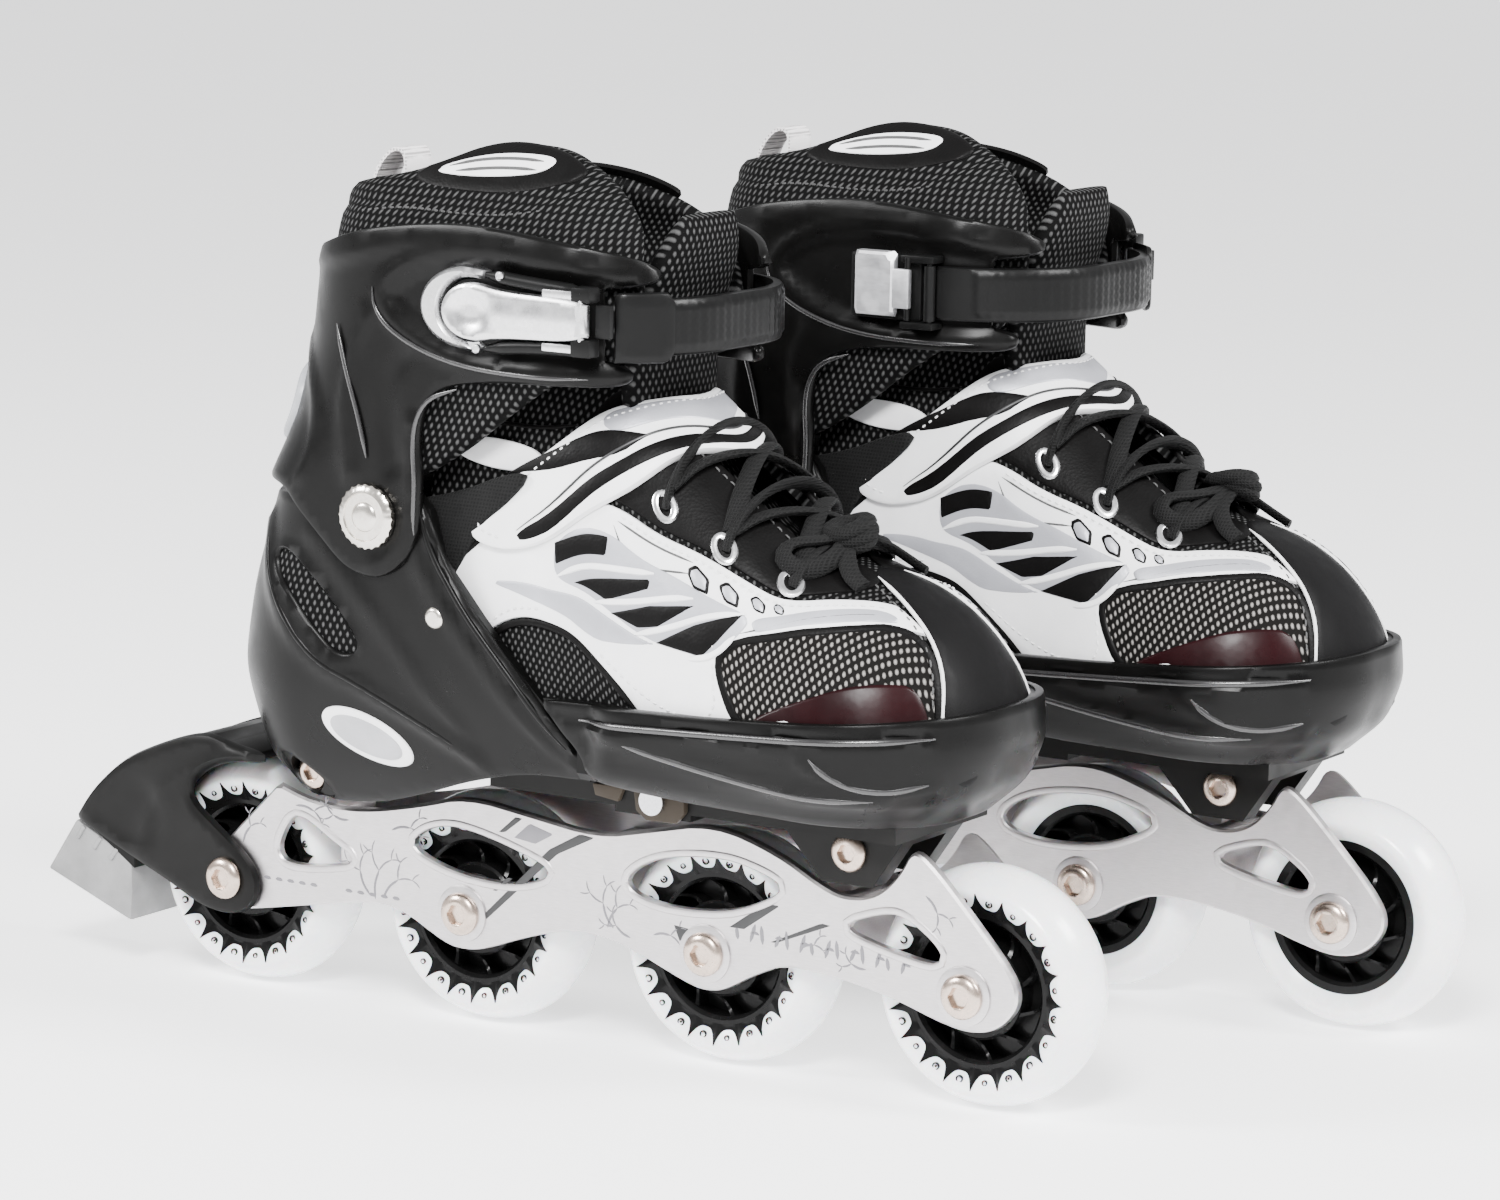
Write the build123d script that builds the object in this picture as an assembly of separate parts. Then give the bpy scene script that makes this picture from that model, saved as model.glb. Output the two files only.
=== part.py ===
from build123d import *
import os
from math import cos, pi, sin

# A pair of size-adjustable inline skates: a right skate with a heel brake and a
# mirrored left skate without one. Each skate is drawn in its own frame, in
# millimetres: x = 0 at the rear axle, +X to the toe, +Z up, z = 0 on the ground,
# and the outer (lateral) side of the foot at -Y. place() then sets it in the pair.

# --- driving dimensions ---
WHEEL_R = 35.0
WHEEL_WIDTH = 24.0
WHEEL_PITCH = 86.0
CORE_R = 23.3
CORE_WIDTH = 20.0
BEARING_R = 11.0
BEARING_WIDTH = 7.0
AXLE_R = 4.0
RUNNING = 0.05          # radial clearance of a running fit
GAP = 0.3               # clearance between neighbouring pieces

PLATE_INNER = 14.5      # half width between the frame's side plates
PLATE_OUTER = 17.0
BOSS_R = 10.0
BRAKE_OUTER = 21.0      # outer face of the brake arm's cheeks

SHELL_WALL = 3.0
CUFF_WALL = 3.1
CUFF_HALF = 46.5
HEEL_HALF = 43.0
UPPER_WALL = 4.0
PIVOT = (72.8, 157.0)   # cuff pivot in side view (x, z)
RIVET_R = 4.0

SKATE_PITCH = 144.0     # distance between the two skates' middle planes
LEFT_AHEAD = 44.0       # the left skate stands this far ahead of the right one
REAR_END = -72.0        # the brake pad's back, in the right skate's own frame

FRONT_WHEEL = 3 * WHEEL_PITCH
FRONT_END = FRONT_WHEEL + WHEEL_R + LEFT_AHEAD
MIDDLE_X = (REAR_END + FRONT_END) / 2
AXLES = [i * WHEEL_PITCH for i in range(4)]
WIDE = 80.0             # half width of a cutting prism that passes every side


# --- helpers ---
def prism(outline, y_low=-WIDE, y_high=WIDE):
    """A solid from a side outline of (x, z) points, from y_low to y_high."""
    face = make_face(Polyline(*[(x, y_low, z) for x, z in outline], close=True))
    return extrude(face, amount=y_high - y_low, dir=(0, 1, 0))


def cross_rod(x, z, radius, y_low, y_high):
    """A cylinder along Y."""
    return Pos(x, (y_low + y_high) / 2, z) * Rot(90, 0, 0) * Cylinder(radius, y_high - y_low)


def upright_rod(x, y, radius, z_low, z_high):
    """A cylinder along Z."""
    return Pos(x, y, (z_low + z_high) / 2) * Cylinder(radius, z_high - z_low)


def block(x_low, x_high, y_low, y_high, z_low, z_high):
    """A box given by its limits."""
    centre = Pos((x_low + x_high) / 2, (y_low + y_high) / 2, (z_low + z_high) / 2)
    return centre * Box(x_high - x_low, y_high - y_low, z_high - z_low)


def level_loft(levels, inset=0.0):
    """A tube through horizontal rounded sections: (z, x_back, x_front, half width, radius)."""
    faces = []
    for z, back, front, half, radius in levels:
        length = front - back - 2 * inset
        section = RectangleRounded(length, 2 * (half - inset), radius - inset)
        faces.append((Pos((back + front) / 2, 0, z) * section).face())
    return loft(faces, ruled=True)


def station_loft(stations, inset=0.0):
    """A body through rounded sections across X: (x, half width, z_low, z_high, radius)."""
    faces = []
    for x, half, low, high, radius in stations:
        section = RectangleRounded(2 * (half - inset), high - low - 2 * inset, radius - inset)
        plane = Plane(origin=(x, 0, (low + high) / 2), x_dir=(0, 1, 0), z_dir=(1, 0, 0))
        faces.append((plane * section).face())
    return loft(faces, ruled=True)


def group(solids):
    """Separate solids that share one node."""
    return Compound(children=[solid for solid in solids])


# --- wheels ---
def tyre(x):
    """The urethane tyre, with a rounded tread."""
    half = WHEEL_WIDTH / 2
    shoulder = WHEEL_R - 7
    profile = make_face(
        Polyline((CORE_R, -half + 2.5), (shoulder, -half), (shoulder + 4, -half + 3))
        + ThreePointArc((shoulder + 4, -half + 3), (WHEEL_R, 0), (shoulder + 4, half - 3))
        + Polyline((shoulder + 4, half - 3), (shoulder, half), (CORE_R, half - 2.5),
                   (CORE_R, -half + 2.5))
    )
    ring = revolve(profile, Axis.Y)
    return Pos(x, 0, WHEEL_R) * ring


def make_wheel_profile(points):
    """A ring about Y from a half section of (radius, y) points."""
    face = make_face(Polyline(*[(r, y, 0) for r, y in points], close=True))
    return revolve(face, Axis.Y)


def hub(x):
    """The moulded core: rim, web with lightening holes, and bearing sleeve."""
    half = CORE_WIDTH / 2
    bore = BEARING_R + RUNNING
    core = make_wheel_profile([
        (bore, -half), (14, -half), (15, -4), (19.5, -4), (20.5, -half), (CORE_R, -half),
        (CORE_R, half), (20.5, half), (19.5, 4), (15, 4), (14, half), (bore, half),
    ])
    for i in range(8):
        angle = 2 * pi * i / 8
        core -= Pos(17.3 * cos(angle), 0, 17.3 * sin(angle)) * Rot(90, 0, 0) * Cylinder(1.9, 12)
    return Pos(x, 0, WHEEL_R) * core


def bearings():
    """Two bearings a wheel, on the axle, with the core turning round them."""
    rings = []
    for x in AXLES:
        for side in (-1, 1):
            inner_end = side * (CORE_WIDTH / 2 - BEARING_WIDTH)
            outer_end = side * CORE_WIDTH / 2
            low, high = sorted((inner_end, outer_end))
            ring = cross_rod(x, WHEEL_R, BEARING_R, low, high)
            rings.append(ring - cross_rod(x, WHEEL_R, 6.0, low - 1, high + 1))
    return group(rings)


def axles(brake):
    """Four axle bolts with their bearing spacers, each turned as one piece."""
    bolts = []
    for i, x in enumerate(AXLES):
        seat = BRAKE_OUTER if brake and i == 0 else PLATE_OUTER + 0.8
        seat += 0.1
        bolt = cross_rod(x, WHEEL_R, AXLE_R, -seat, seat)
        bolt += cross_rod(x, WHEEL_R, 5.95, -13.0, 13.0)
        bolt += cross_rod(x, WHEEL_R, 6.5, -seat - 2.6, -seat)
        bolt += cross_rod(x, WHEEL_R, 6.5, seat, seat + 2.6)
        bolt -= cross_rod(x, WHEEL_R, 2.2, -seat - 3, -seat - 0.8)
        bolts.append(bolt)
    return group(bolts)


# --- frame and sole ---
PLATE_OUTLINE = [
    (-4, 43), (17, 66), (30, 62), (48, 61.5), (87, 71), (111, 68), (134, 65), (152, 69),
    (174, 74), (196, 68), (212, 59), (228, 59), (240, 74), (246, 72), (274, 42), (275, 33),
    (266, 25.5), (254, 24.5), (230, 32), (200, 35.5), (189, 31), (178, 24), (166, 24),
    (143, 33.5), (126, 35.5), (110, 31), (93, 24), (79, 24), (62, 33.5), (48, 33), (8, 25.5),
    (-6, 28),
]
WINDOWS = [
    [(17, 45), (22, 56), (28, 56), (47, 47), (38, 43.5), (21, 41.5)],
    [(66, 53), (81, 61), (100, 58.5), (119, 52), (111, 47.5), (98, 46), (80, 48)],
    [(143, 52), (160, 62), (178, 63.5), (198, 58), (191, 53), (180, 48), (164, 48), (151, 48)],
    [(217, 49), (230, 54), (239, 55), (251, 46), (247, 43), (226, 45.5)],
]
HEEL_BOLT = (37.0, 73.4)
TOE_BOLT = (220.0, 71.2)
MOUNT_BOLT_R = 3.0


def frame():
    """Two cut-out side plates joined by cross webs, with two mounting blocks on top."""
    outline = prism(PLATE_OUTLINE)
    for window in WINDOWS:
        outline -= prism(window)
    for x in AXLES:
        outline += cross_rod(x, WHEEL_R, BOSS_R, -WIDE, WIDE)
    rail = None
    for low, high in ((-PLATE_OUTER, -PLATE_INNER), (PLATE_INNER, PLATE_OUTER)):
        plate = outline & block(-30, 300, low, high, 0, 120)
        rail = plate if rail is None else rail + plate
    for x in AXLES:
        for side in (-1, 1):
            low, high = sorted((side * (PLATE_OUTER - 1), side * (PLATE_OUTER + 0.8)))
            if x > 0:
                rail += cross_rod(x, WHEEL_R, BOSS_R - 1.5, low, high)
    for x, low, high in ((43, 40, 60), (129, 41, 61), (215, 40, 57)):
        rail += block(x - 4.5, x + 4.5, -PLATE_INNER - 1, PLATE_INNER + 1, low, high)
    rail += block(33, 48, -9, 9, 54, 80)
    rail += block(211, 229, -9, 9, 56, 78) - cross_rod(258, WHEEL_R, WHEEL_R + 1.5, -WIDE, WIDE)
    for x in AXLES:
        rail -= cross_rod(x, WHEEL_R, AXLE_R + RUNNING, -WIDE, WIDE)
    for x, z in (HEEL_BOLT, TOE_BOLT):
        rail -= cross_rod(x, z, MOUNT_BOLT_R + RUNNING, -WIDE, WIDE)
    return rail


def frame_bolts():
    """The heel and toe bolts that hold the boot on the frame's blocks."""
    bolts = []
    for (x, z), half in ((HEEL_BOLT, 24.2), (TOE_BOLT, 17.1)):
        bolt = cross_rod(x, z, MOUNT_BOLT_R, -half, half)
        bolt += cross_rod(x, z, 5.6, -half - 2.6, -half)
        bolt += cross_rod(x, z, 5.6, half, half + 2.6)
        bolt -= cross_rod(x, z, 2.0, -half - 3, -half - 0.8)
        bolts.append(bolt)
    return group(bolts)


BUTTON = (160.8, 80.5)
BUTTON_R = 3.0
SOLE_HALF = 26.0


def base_plate():
    """The sole plate under the sliding toe, with the toe lug and the size lock."""
    plate = block(102, 240, -SOLE_HALF, SOLE_HALF, 77.3, 83.6)
    plate += block(146, 172, -SOLE_HALF, SOLE_HALF, 75.3, 86.5)
    lug = prism([(196, 78), (210.5, 61.8), (227.5, 61.8), (238.5, 78)], -17, 17)
    plate += lug
    plate -= block(203, 236, -9 - GAP, 9 + GAP, 50, 78.3)
    x, z = TOE_BOLT
    plate -= cross_rod(x, z, MOUNT_BOLT_R + RUNNING, -WIDE, WIDE)
    x, z = BUTTON
    plate -= cross_rod(x, z, BUTTON_R + RUNNING, -WIDE, -12)
    return plate


def size_button():
    """The push button that frees the toe slide."""
    x, z = BUTTON
    return cross_rod(x, z, BUTTON_R, -28.6, -16) + cross_rod(x, z, 4.0, -30.0, -28.6)


# --- heel shell, toe shell and boot ---
HEEL_LEVELS = [
    (64.0, 23.0, 170.0, 24.0, 20.0),
    (80.0, 14.0, 170.0, 33.0, 26.0),
    (105.0, 8.0, 170.0, 41.0, 33.0),
    (130.0, 12.0, 170.0, HEEL_HALF, 36.0),
    (175.0, 26.0, 170.0, HEEL_HALF, 36.0),
]
HEEL_PROFILE = [
    (-20, 78), (12, 78), (26, 75.5), (35, 67.5), (47, 66), (65, 68), (83, 73.5), (101, 80),
    (122, 85), (143, 85), (141, 97), (118, 121), (96, 146), (92, 160), (84, 168), (73, 171),
    (62, 168), (50, 160), (20, 158), (-20, 158),
]


def heel_shell():
    """The hard heel cup, closed under the heel and open to the leg and the toe."""
    cavity = level_loft(HEEL_LEVELS[1:], SHELL_WALL) & block(-40, 200, -WIDE, WIDE, 84, 200)
    shell = (level_loft(HEEL_LEVELS) & prism(HEEL_PROFILE)) - cavity
    shell -= block(22, 52, -9 - GAP, 9 + GAP, 50, 80.5)
    shell -= block(100, 180, -SOLE_HALF - GAP, SOLE_HALF + GAP, 70, 84.5)
    shell -= cross_rod(*HEEL_BOLT, MOUNT_BOLT_R + RUNNING, -WIDE, WIDE)
    for low, high in ((-WIDE, -24.1), (24.1, WIDE)):
        shell -= cross_rod(*HEEL_BOLT, 6.2, low, high)
    shell -= cross_rod(*PIVOT, RIVET_R + RUNNING, -WIDE, WIDE)
    return shell


TOE_LEVELS = [
    (83.9, 100.0, 249.0, 38.5, 35.0),
    (92.0, 100.0, 258.5, 45.5, 41.0),
    (104.0, 100.0, 263.0, 48.5, 44.0),
    (118.0, 100.0, 261.5, 48.0, 43.0),
]
TOE_PROFILE = [
    (176, 83.9), (300, 83.9), (300, 117), (272, 116), (200, 111.5), (132, 109.5), (144, 97.5),
    (144, 87), (176, 87),
]
TOE_FLOOR = 90.0


def toe_shell():
    """The hard toe cup that slides forward to lengthen the boot."""
    taper = extrude(make_face(Polyline(
        (90, -HEEL_HALF, 60), (150, -HEEL_HALF, 60), (195, -60, 60), (300, -60, 60),
        (300, 60, 60), (195, 60, 60), (150, HEEL_HALF, 60), (90, HEEL_HALF, 60), close=True,
    )), amount=80, dir=(0, 0, 1))
    inner_taper = extrude(make_face(Polyline(
        (90, -40, 60), (150, -40, 60), (195, -57, 60), (300, -57, 60),
        (300, 57, 60), (195, 57, 60), (150, 40, 60), (90, 40, 60), close=True,
    )), amount=80, dir=(0, 0, 1))
    cavity = level_loft(TOE_LEVELS, SHELL_WALL) & block(0, 400, -WIDE, WIDE, TOE_FLOOR, 117.9)
    shell = level_loft(TOE_LEVELS) & prism(TOE_PROFILE) & taper
    return shell - (cavity & inner_taper)


VAMP_STATIONS = [
    (95.0, 36.5, 86.0, 206.0, 28.0),
    (141.0, 38.0, 90.5, 206.0, 28.0),
    (165.0, 41.0, 90.5, 184.0, 28.0),
    (204.0, 44.5, 90.5, 151.0, 26.0),
    (229.0, 41.5, 90.5, 145.0, 26.0),
    (248.0, 30.5, 90.5, 124.0, 15.0),
    (255.0, 16.0, 96.0, 111.0, 7.0),
]
UPPER_PROFILE = [
    (101, 80), (101, 148), (141.5, 187), (146, 191.5), (300, 191.5), (300, 80),
]
THROAT_HALF = 15.0


def toe_upper():
    """The soft upper round the forefoot, open along the instep for the tongue."""
    upper = station_loft(VAMP_STATIONS) & prism(UPPER_PROFILE)
    hollow = [(x, half, low, high, radius) for x, half, low, high, radius in VAMP_STATIONS[:-1]]
    hollow[0] = (94.0,) + hollow[0][1:]
    upper -= station_loft(hollow, UPPER_WALL)
    throat = [(120, 260), (120, 172), (196, 142), (206, 158), (206, 260)]
    return upper - prism(throat, -THROAT_HALF, THROAT_HALF)


BOOT_LEVELS = [
    (84.5, 20.5, 170.0, 29.5, 24.0),
    (105.0, 11.8, 170.0, 37.2, 30.0),
    (130.0, 15.8, 170.0, 39.4, 33.0),
    (190.0, 34.5, 170.0, 39.4, 33.0),
]
BOOT_PROFILE = [
    (-20, 84.5), (100.4, 84.5), (100.4, 148), (134, 181), (124, 180), (95, 166), (60, 158),
    (-20, 158),
]
BOOT_WALL = 5.0


def boot_rear():
    """The soft boot inside the heel shell, with its sole and ankle panels."""
    cavity = level_loft(BOOT_LEVELS, BOOT_WALL) & block(-40, 200, -WIDE, WIDE, 92, 189.9)
    boot = level_loft(BOOT_LEVELS) & prism(BOOT_PROFILE)
    return boot - cavity


TONGUE_PROFILE = [
    (203, 141), (163, 175), (148, 186.5), (151, 205), (160, 240), (150.5, 238), (143, 207),
    (139, 190), (153, 168), (196, 134),
]
TONGUE_HALF = 23.5


def tongue():
    """The padded tongue, under the laces and up in front of the shin."""
    return prism(TONGUE_PROFILE, -TONGUE_HALF, TONGUE_HALF)


LACE_X = (188.0, 196.0, 204.0, 212.0)
LACE_R = 1.8


def instep_height(x):
    """Height of the upper's outer surface on the middle plane."""
    for a, b in zip(VAMP_STATIONS, VAMP_STATIONS[1:]):
        if a[0] <= x <= b[0]:
            return a[3] + (b[3] - a[3]) * (x - a[0]) / (b[0] - a[0])
    raise ValueError(x)


def laces():
    """The lace's cross runs over the throat."""
    runs = []
    for x in LACE_X:
        runs.append(cross_rod(x, instep_height(x) + LACE_R + 1.0, LACE_R, -18, 18))
    return group(runs)


STRAP_STATIONS = [
    (95.0, 39.8, 86.0, 206.6, 28.0),
    (141.0, 39.9, 90.5, 206.6, 28.0),
    (165.0, 41.6, 90.5, 184.6, 28.0),
    (204.0, 45.1, 90.5, 151.6, 26.0),
]
STRAP_SKIN = 2.6
STRAP_STRIPE = [
    (104, 151), (124, 176), (139, 192.5), (160, 192.5), (186, 174), (180, 166), (141, 149),
    (112, 145),
]
FLAP_EDGE = 26.0        # the instep strap folds here, on the inner side
ROOT_EDGE = 40.5        # the sewn end's limits, clear of the flap's fold
ROOT_TOP = 166.0
FINGER_CLEAR = 189.5    # below the cuff's lower finger when the cuff leans forward


def strap_arch():
    """The instep strap's band over the upper, before its fold is cut."""
    arch = station_loft(STRAP_STATIONS, -STRAP_SKIN) - station_loft(STRAP_STATIONS)
    arch -= block(90, 153.5, -TONGUE_HALF - 1, TONGUE_HALF + 1, 175, 215)
    for low, high in ((-WIDE, -29), (29, WIDE)):
        arch -= block(90, 166, low, high, FINGER_CLEAR, 215)
    return arch & prism(STRAP_STRIPE)


def velcro_strap():
    """The instep strap's loose flap, from its fold to the outer side."""
    return strap_arch() & block(0, 300, -WIDE, FLAP_EDGE - GAP, 0, 300)


def strap_root():
    """The strap's sewn end on the inner side, joined to the upper."""
    sewn = station_loft(STRAP_STATIONS, -STRAP_SKIN) - station_loft(VAMP_STATIONS, UPPER_WALL / 2)
    sewn = sewn & prism(STRAP_STRIPE) & block(143, 300, ROOT_EDGE, WIDE, 0, ROOT_TOP)
    return sewn + (strap_arch() & block(0, 300, ROOT_EDGE, WIDE, 0, ROOT_TOP))


# --- cuff, collar and closure ---
CUFF_FRONT = 167.0      # where the cuff's round section would close in front
CUFF_LEVELS = [
    (130.0, 15.0, CUFF_FRONT, CUFF_HALF, 30.0),
    (160.0, 19.5, CUFF_FRONT, CUFF_HALF, 30.0),
    (182.0, 27.5, CUFF_FRONT, CUFF_HALF, 38.5),
    (203.0, 33.0, CUFF_FRONT, CUFF_HALF, 38.5),
    (245.0, 38.0, CUFF_FRONT, CUFF_HALF, 38.0),
]
CUFF_PROFILE = [
    (-10, 163.5), (30, 163.5), (46, 157), (56, 148), (65, 140), (73, 138.5), (82, 141),
    (89, 149), (90.5, 163), (89, 180), (91, 190), (98, 196.5), (117, 199.5), (155, 199.5),
    (157, 203), (155, 206.5), (153, 208), (153, 228), (161, 229), (162, 233), (152, 238),
    (134, 241), (103, 244), (73, 241), (54, 237), (20, 232), (-10, 232),
]
BUCKLE_RECESS = [
    (83, 214), (78, 221), (92, 231.5), (123, 233), (154, 228.2), (154, 208), (99, 207.5),
]
RECESS_FLOOR = CUFF_HALF - 1.2


def cuff():
    """The hinged plastic cuff with its two front fingers each side."""
    shell = level_loft(CUFF_LEVELS) & prism(CUFF_PROFILE)
    shell -= level_loft(CUFF_LEVELS, CUFF_WALL) & block(-40, 200, -WIDE, WIDE, 130, 244.9)
    shell -= prism([(130, 120), (180, 120), (180, 260), (130, 260)], -30, 30)
    shell -= prism(BUCKLE_RECESS, -WIDE, -RECESS_FLOOR)
    shell -= prism(BUCKLE_RECESS, RECESS_FLOOR, WIDE)
    shell -= cross_rod(*PIVOT, RIVET_R + RUNNING, -WIDE, WIDE)
    return shell


def cuff_rivets():
    """The two pivot rivets through the heel shell and the cuff."""
    rivets = []
    for side in (-1, 1):
        parts = []
        for radius, start, end in ((RIVET_R, 39.9, 46.7), (9.0, 46.7, 49.5), (6.5, 39.7, 39.9)):
            low, high = sorted((side * start, side * end))
            parts.append(cross_rod(*PIVOT, radius, low, high))
        rivets.append(parts[0] + parts[1] + parts[2])
    return group(rivets)


COLLAR_LEVELS = [
    (160.0, 23.1, 162.5, 42.9, 27.0),
    (182.0, 31.1, 162.5, 42.9, 35.5),
    (203.0, 36.6, 162.5, 42.9, 35.5),
    (245.0, 41.6, 162.5, 42.9, 35.0),
    (270.0, 46.0, 156.0, 36.0, 29.0),
]
COLLAR_PROFILE = [
    (0, 167), (60, 167), (72, 176), (95, 188), (122, 203), (150, 207), (154, 225), (150, 243),
    (138, 258), (120, 266.5), (105, 268), (89, 263), (75, 257), (59, 255), (36, 250), (0, 250),
]
COLLAR_WALL = 6.5


def collar():
    """The padded liner round the ankle, open in front for the tongue."""
    ring = level_loft(COLLAR_LEVELS) & prism(COLLAR_PROFILE)
    ring -= level_loft(COLLAR_LEVELS, COLLAR_WALL)
    return ring - block(110, 180, -27, 27, 140, 280)


BASE_OUTLINE = [
    (85, 215), (81, 221), (93, 230), (120, 231), (141, 229), (141, 210), (101, 209.5),
]
LEVER_HINGE = (149.0, 50.5)
LEVER_OUTLINE = [
    (100, 219.5), (102.5, 224), (107, 226.5), (113, 226.5), (122, 224.5), (149, 224.5),
    (149, 215.5), (122, 215.5), (113, 213.5), (107, 213.5), (102.5, 215.5),
]
LEVER_LOW, LEVER_HIGH = 215.5, 224.5


def buckle_base():
    """The buckle's base in the outer side's recess, with the lever's hinge ears and pin."""
    x, y = LEVER_HINGE
    base = prism(BASE_OUTLINE, -49.6, -RECESS_FLOOR - 0.1)
    base += block(140, 152.5, -47.6, -RECESS_FLOOR - 0.1, 210, 228)
    for low, high in ((210.5, LEVER_LOW - GAP), (LEVER_HIGH + GAP, 228)):
        base += upright_rod(x, -y, 2.5, low, high)
        base += block(x - 2.5, x + 2.5, -y, -47, low, high)
    return base + upright_rod(x, -y, 1.2, 211, 227.5)


def buckle_lever():
    """The clamping lever with its round thumb end."""
    x, y = LEVER_HINGE
    lever = prism(LEVER_OUTLINE, -53, -y + 0.5)
    lever += upright_rod(x, -y, 2.5, LEVER_LOW, LEVER_HIGH)
    return lever - upright_rod(x, -y, 1.2 + RUNNING, 200, 240)


STRAP_SECTION = (60.0, 170.0, 50.0, 41.0)
STRAP_LOW, STRAP_HIGH = 209.0, 226.0
STRAP_THICK = 2.6
STRAP_HINGE = (133.5, 50.0)
STRAP_ROOT_R = 1.9


def ladder_strap():
    """The toothed strap, hinged on the inner side and closing round the front."""
    x, y = STRAP_HINGE
    band = level_loft([(STRAP_LOW,) + STRAP_SECTION, (STRAP_HIGH,) + STRAP_SECTION])
    band -= level_loft([(STRAP_LOW - 1,) + STRAP_SECTION, (STRAP_HIGH + 1,) + STRAP_SECTION],
                       STRAP_THICK)
    outer_end = block(155.5, 200, -WIDE, 0, 200, 240)
    inner_end = block(x + 0.5, 200, 0, WIDE, 200, 240)
    strap = (band & outer_end) + (band & inner_end)
    strap += upright_rod(x, y, STRAP_ROOT_R, STRAP_LOW, STRAP_HIGH)
    return strap - upright_rod(x, y, 1.0 + RUNNING, 200, 240)


ADJUSTER_HINGE = (126.5, 51.2)


def strap_housing():
    """The inner side's housing, with the pins of the ladder strap and the adjuster tab."""
    x, y = STRAP_HINGE
    housing = block(106, 129.8, RECESS_FLOOR - 0.5, 48.9, 209, 228)
    for low, high in ((206.7, 209 - GAP), (226 + GAP, 228.6)):
        housing += block(124, x + 1.8, RECESS_FLOOR - 0.5, y + 1.8, low, high)
    housing += upright_rod(x, y, 1.0, 207, 228.3)
    tab_x, tab_y = ADJUSTER_HINGE
    for low, high in ((209.0, 212.0), (225.0, 228.0)):
        housing += upright_rod(tab_x, tab_y, 1.8, low, high)
        housing += block(tab_x - 1.8, tab_x + 1.8, 48, tab_y, low, high)
    return housing + upright_rod(tab_x, tab_y, 1.0, 210, 227)


def strap_adjuster():
    """The lift-up tab that frees the ladder strap's length."""
    x, y = ADJUSTER_HINGE
    low, high = 212.0 + GAP, 225.0 - GAP
    tab = block(109, x, y - 1.6, y + 1.8, low, high)
    tab += block(108, x - 3.5, y - 0.6, y + 1.8, 209, 230)
    tab += upright_rod(x, y, 1.8, low, high)
    return tab - upright_rod(x, y, 1.0 + RUNNING, 200, 240)


# --- heel brake ---
ARM_OUTLINE = [
    (14, 75), (-1, 77), (-6, 79.5), (-15, 77.5), (-39, 68), (-54, 55), (-60, 46), (-37, 36), (-22, 30), (-11, 24.5),
    (0, 23), (11, 28), (11.5, 36), (6, 45), (-2, 50), (-14, 58), (-12, 66), (0, 71.5), (14, 71.5),
]


def brake_arm():
    """The arm over the rear wheel, held by the rear axle."""
    arm = prism(ARM_OUTLINE, -BRAKE_OUTER, BRAKE_OUTER)
    arm -= cross_rod(0, WHEEL_R, WHEEL_R + 2.0, -PLATE_OUTER - 1.1, PLATE_OUTER + 1.1)
    arm -= block(-30, 40, -PLATE_OUTER - 1.1, PLATE_OUTER + 1.1, 0, 71)
    arm -= cross_rod(0, WHEEL_R, AXLE_R + RUNNING, -WIDE, WIDE)
    arm -= upright_rod(*BRAKE_SCREW, 5.3, SCREW_SEAT, 90)
    return arm - upright_rod(*BRAKE_SCREW, 2.5 + RUNNING, 20, 90)


BRAKE_SCREW = (-48.0, 0.0)
SCREW_SEAT = 53.0
PAD_OUTLINE = [(-61, 45.5), (REAR_END, 28), (-39, 15.5), (-39, 35.9)]


def brake_pad():
    """The rubber stop under the arm's back end."""
    pad = prism(PAD_OUTLINE, -18.5, 18.5)
    pad -= prism([(-62, 46.2), (-60, 46), (-37, 36), (-37, 50), (-62, 60)])
    return pad - upright_rod(*BRAKE_SCREW, 2.5 + RUNNING, 30, 90)


def brake_screw():
    """The screw that holds the pad to the arm."""
    x, y = BRAKE_SCREW
    head = upright_rod(x, y, 5.0, SCREW_SEAT, SCREW_SEAT + 3)
    return upright_rod(x, y, 2.5, 30.5, SCREW_SEAT) + head


# --- one skate, and the pair ---
def skate(brake):
    """All the pieces of one skate, by node name, in the skate's own frame."""
    parts = {
        "frame": frame(),
        "frame_bolts": frame_bolts(),
        "axles": axles(brake),
        "bearings": bearings(),
        "base_plate": base_plate(),
        "size_button": size_button(),
        "heel_shell": heel_shell(),
        "toe_shell": toe_shell(),
        "toe_upper": toe_upper() + strap_root(),
        "boot_rear": boot_rear(),
        "tongue": tongue(),
        "laces": laces(),
        "velcro_strap": velcro_strap(),
        "cuff": cuff() + strap_housing(),
        "cuff_rivets": cuff_rivets(),
        "collar": collar(),
        "buckle_base": buckle_base(),
        "buckle_lever": buckle_lever(),
        "ladder_strap": ladder_strap(),
        "strap_adjuster": strap_adjuster(),
    }
    for number, x in enumerate(AXLES, start=1):
        parts[f"wheel_{number}_tyre"] = tyre(x)
        parts[f"wheel_{number}_hub"] = hub(x)
    if brake:
        parts["brake_arm"] = brake_arm()
        parts["brake_pad"] = brake_pad()
        parts["brake_screw"] = brake_screw()
    return parts


def place(shape, side):
    """Set a right-hand shape in the pair; the left skate is its mirror image."""
    if side == "right":
        return Pos(-MIDDLE_X, -SKATE_PITCH / 2, 0) * shape
    return Pos(LEFT_AHEAD - MIDDLE_X, SKATE_PITCH / 2, 0) * mirror(shape, about=Plane.XZ)


os.makedirs("parts", exist_ok=True)
for side, brake in (("right", True), ("left", False)):
    for name, shape in skate(brake).items():
        export_step(place(shape, side), f"parts/{side}_{name}.step")
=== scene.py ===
import math

import bmesh
import bpy
import numpy as np
from mathutils import Matrix, Vector
from mathutils.geometry import delaunay_2d_cdt


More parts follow.
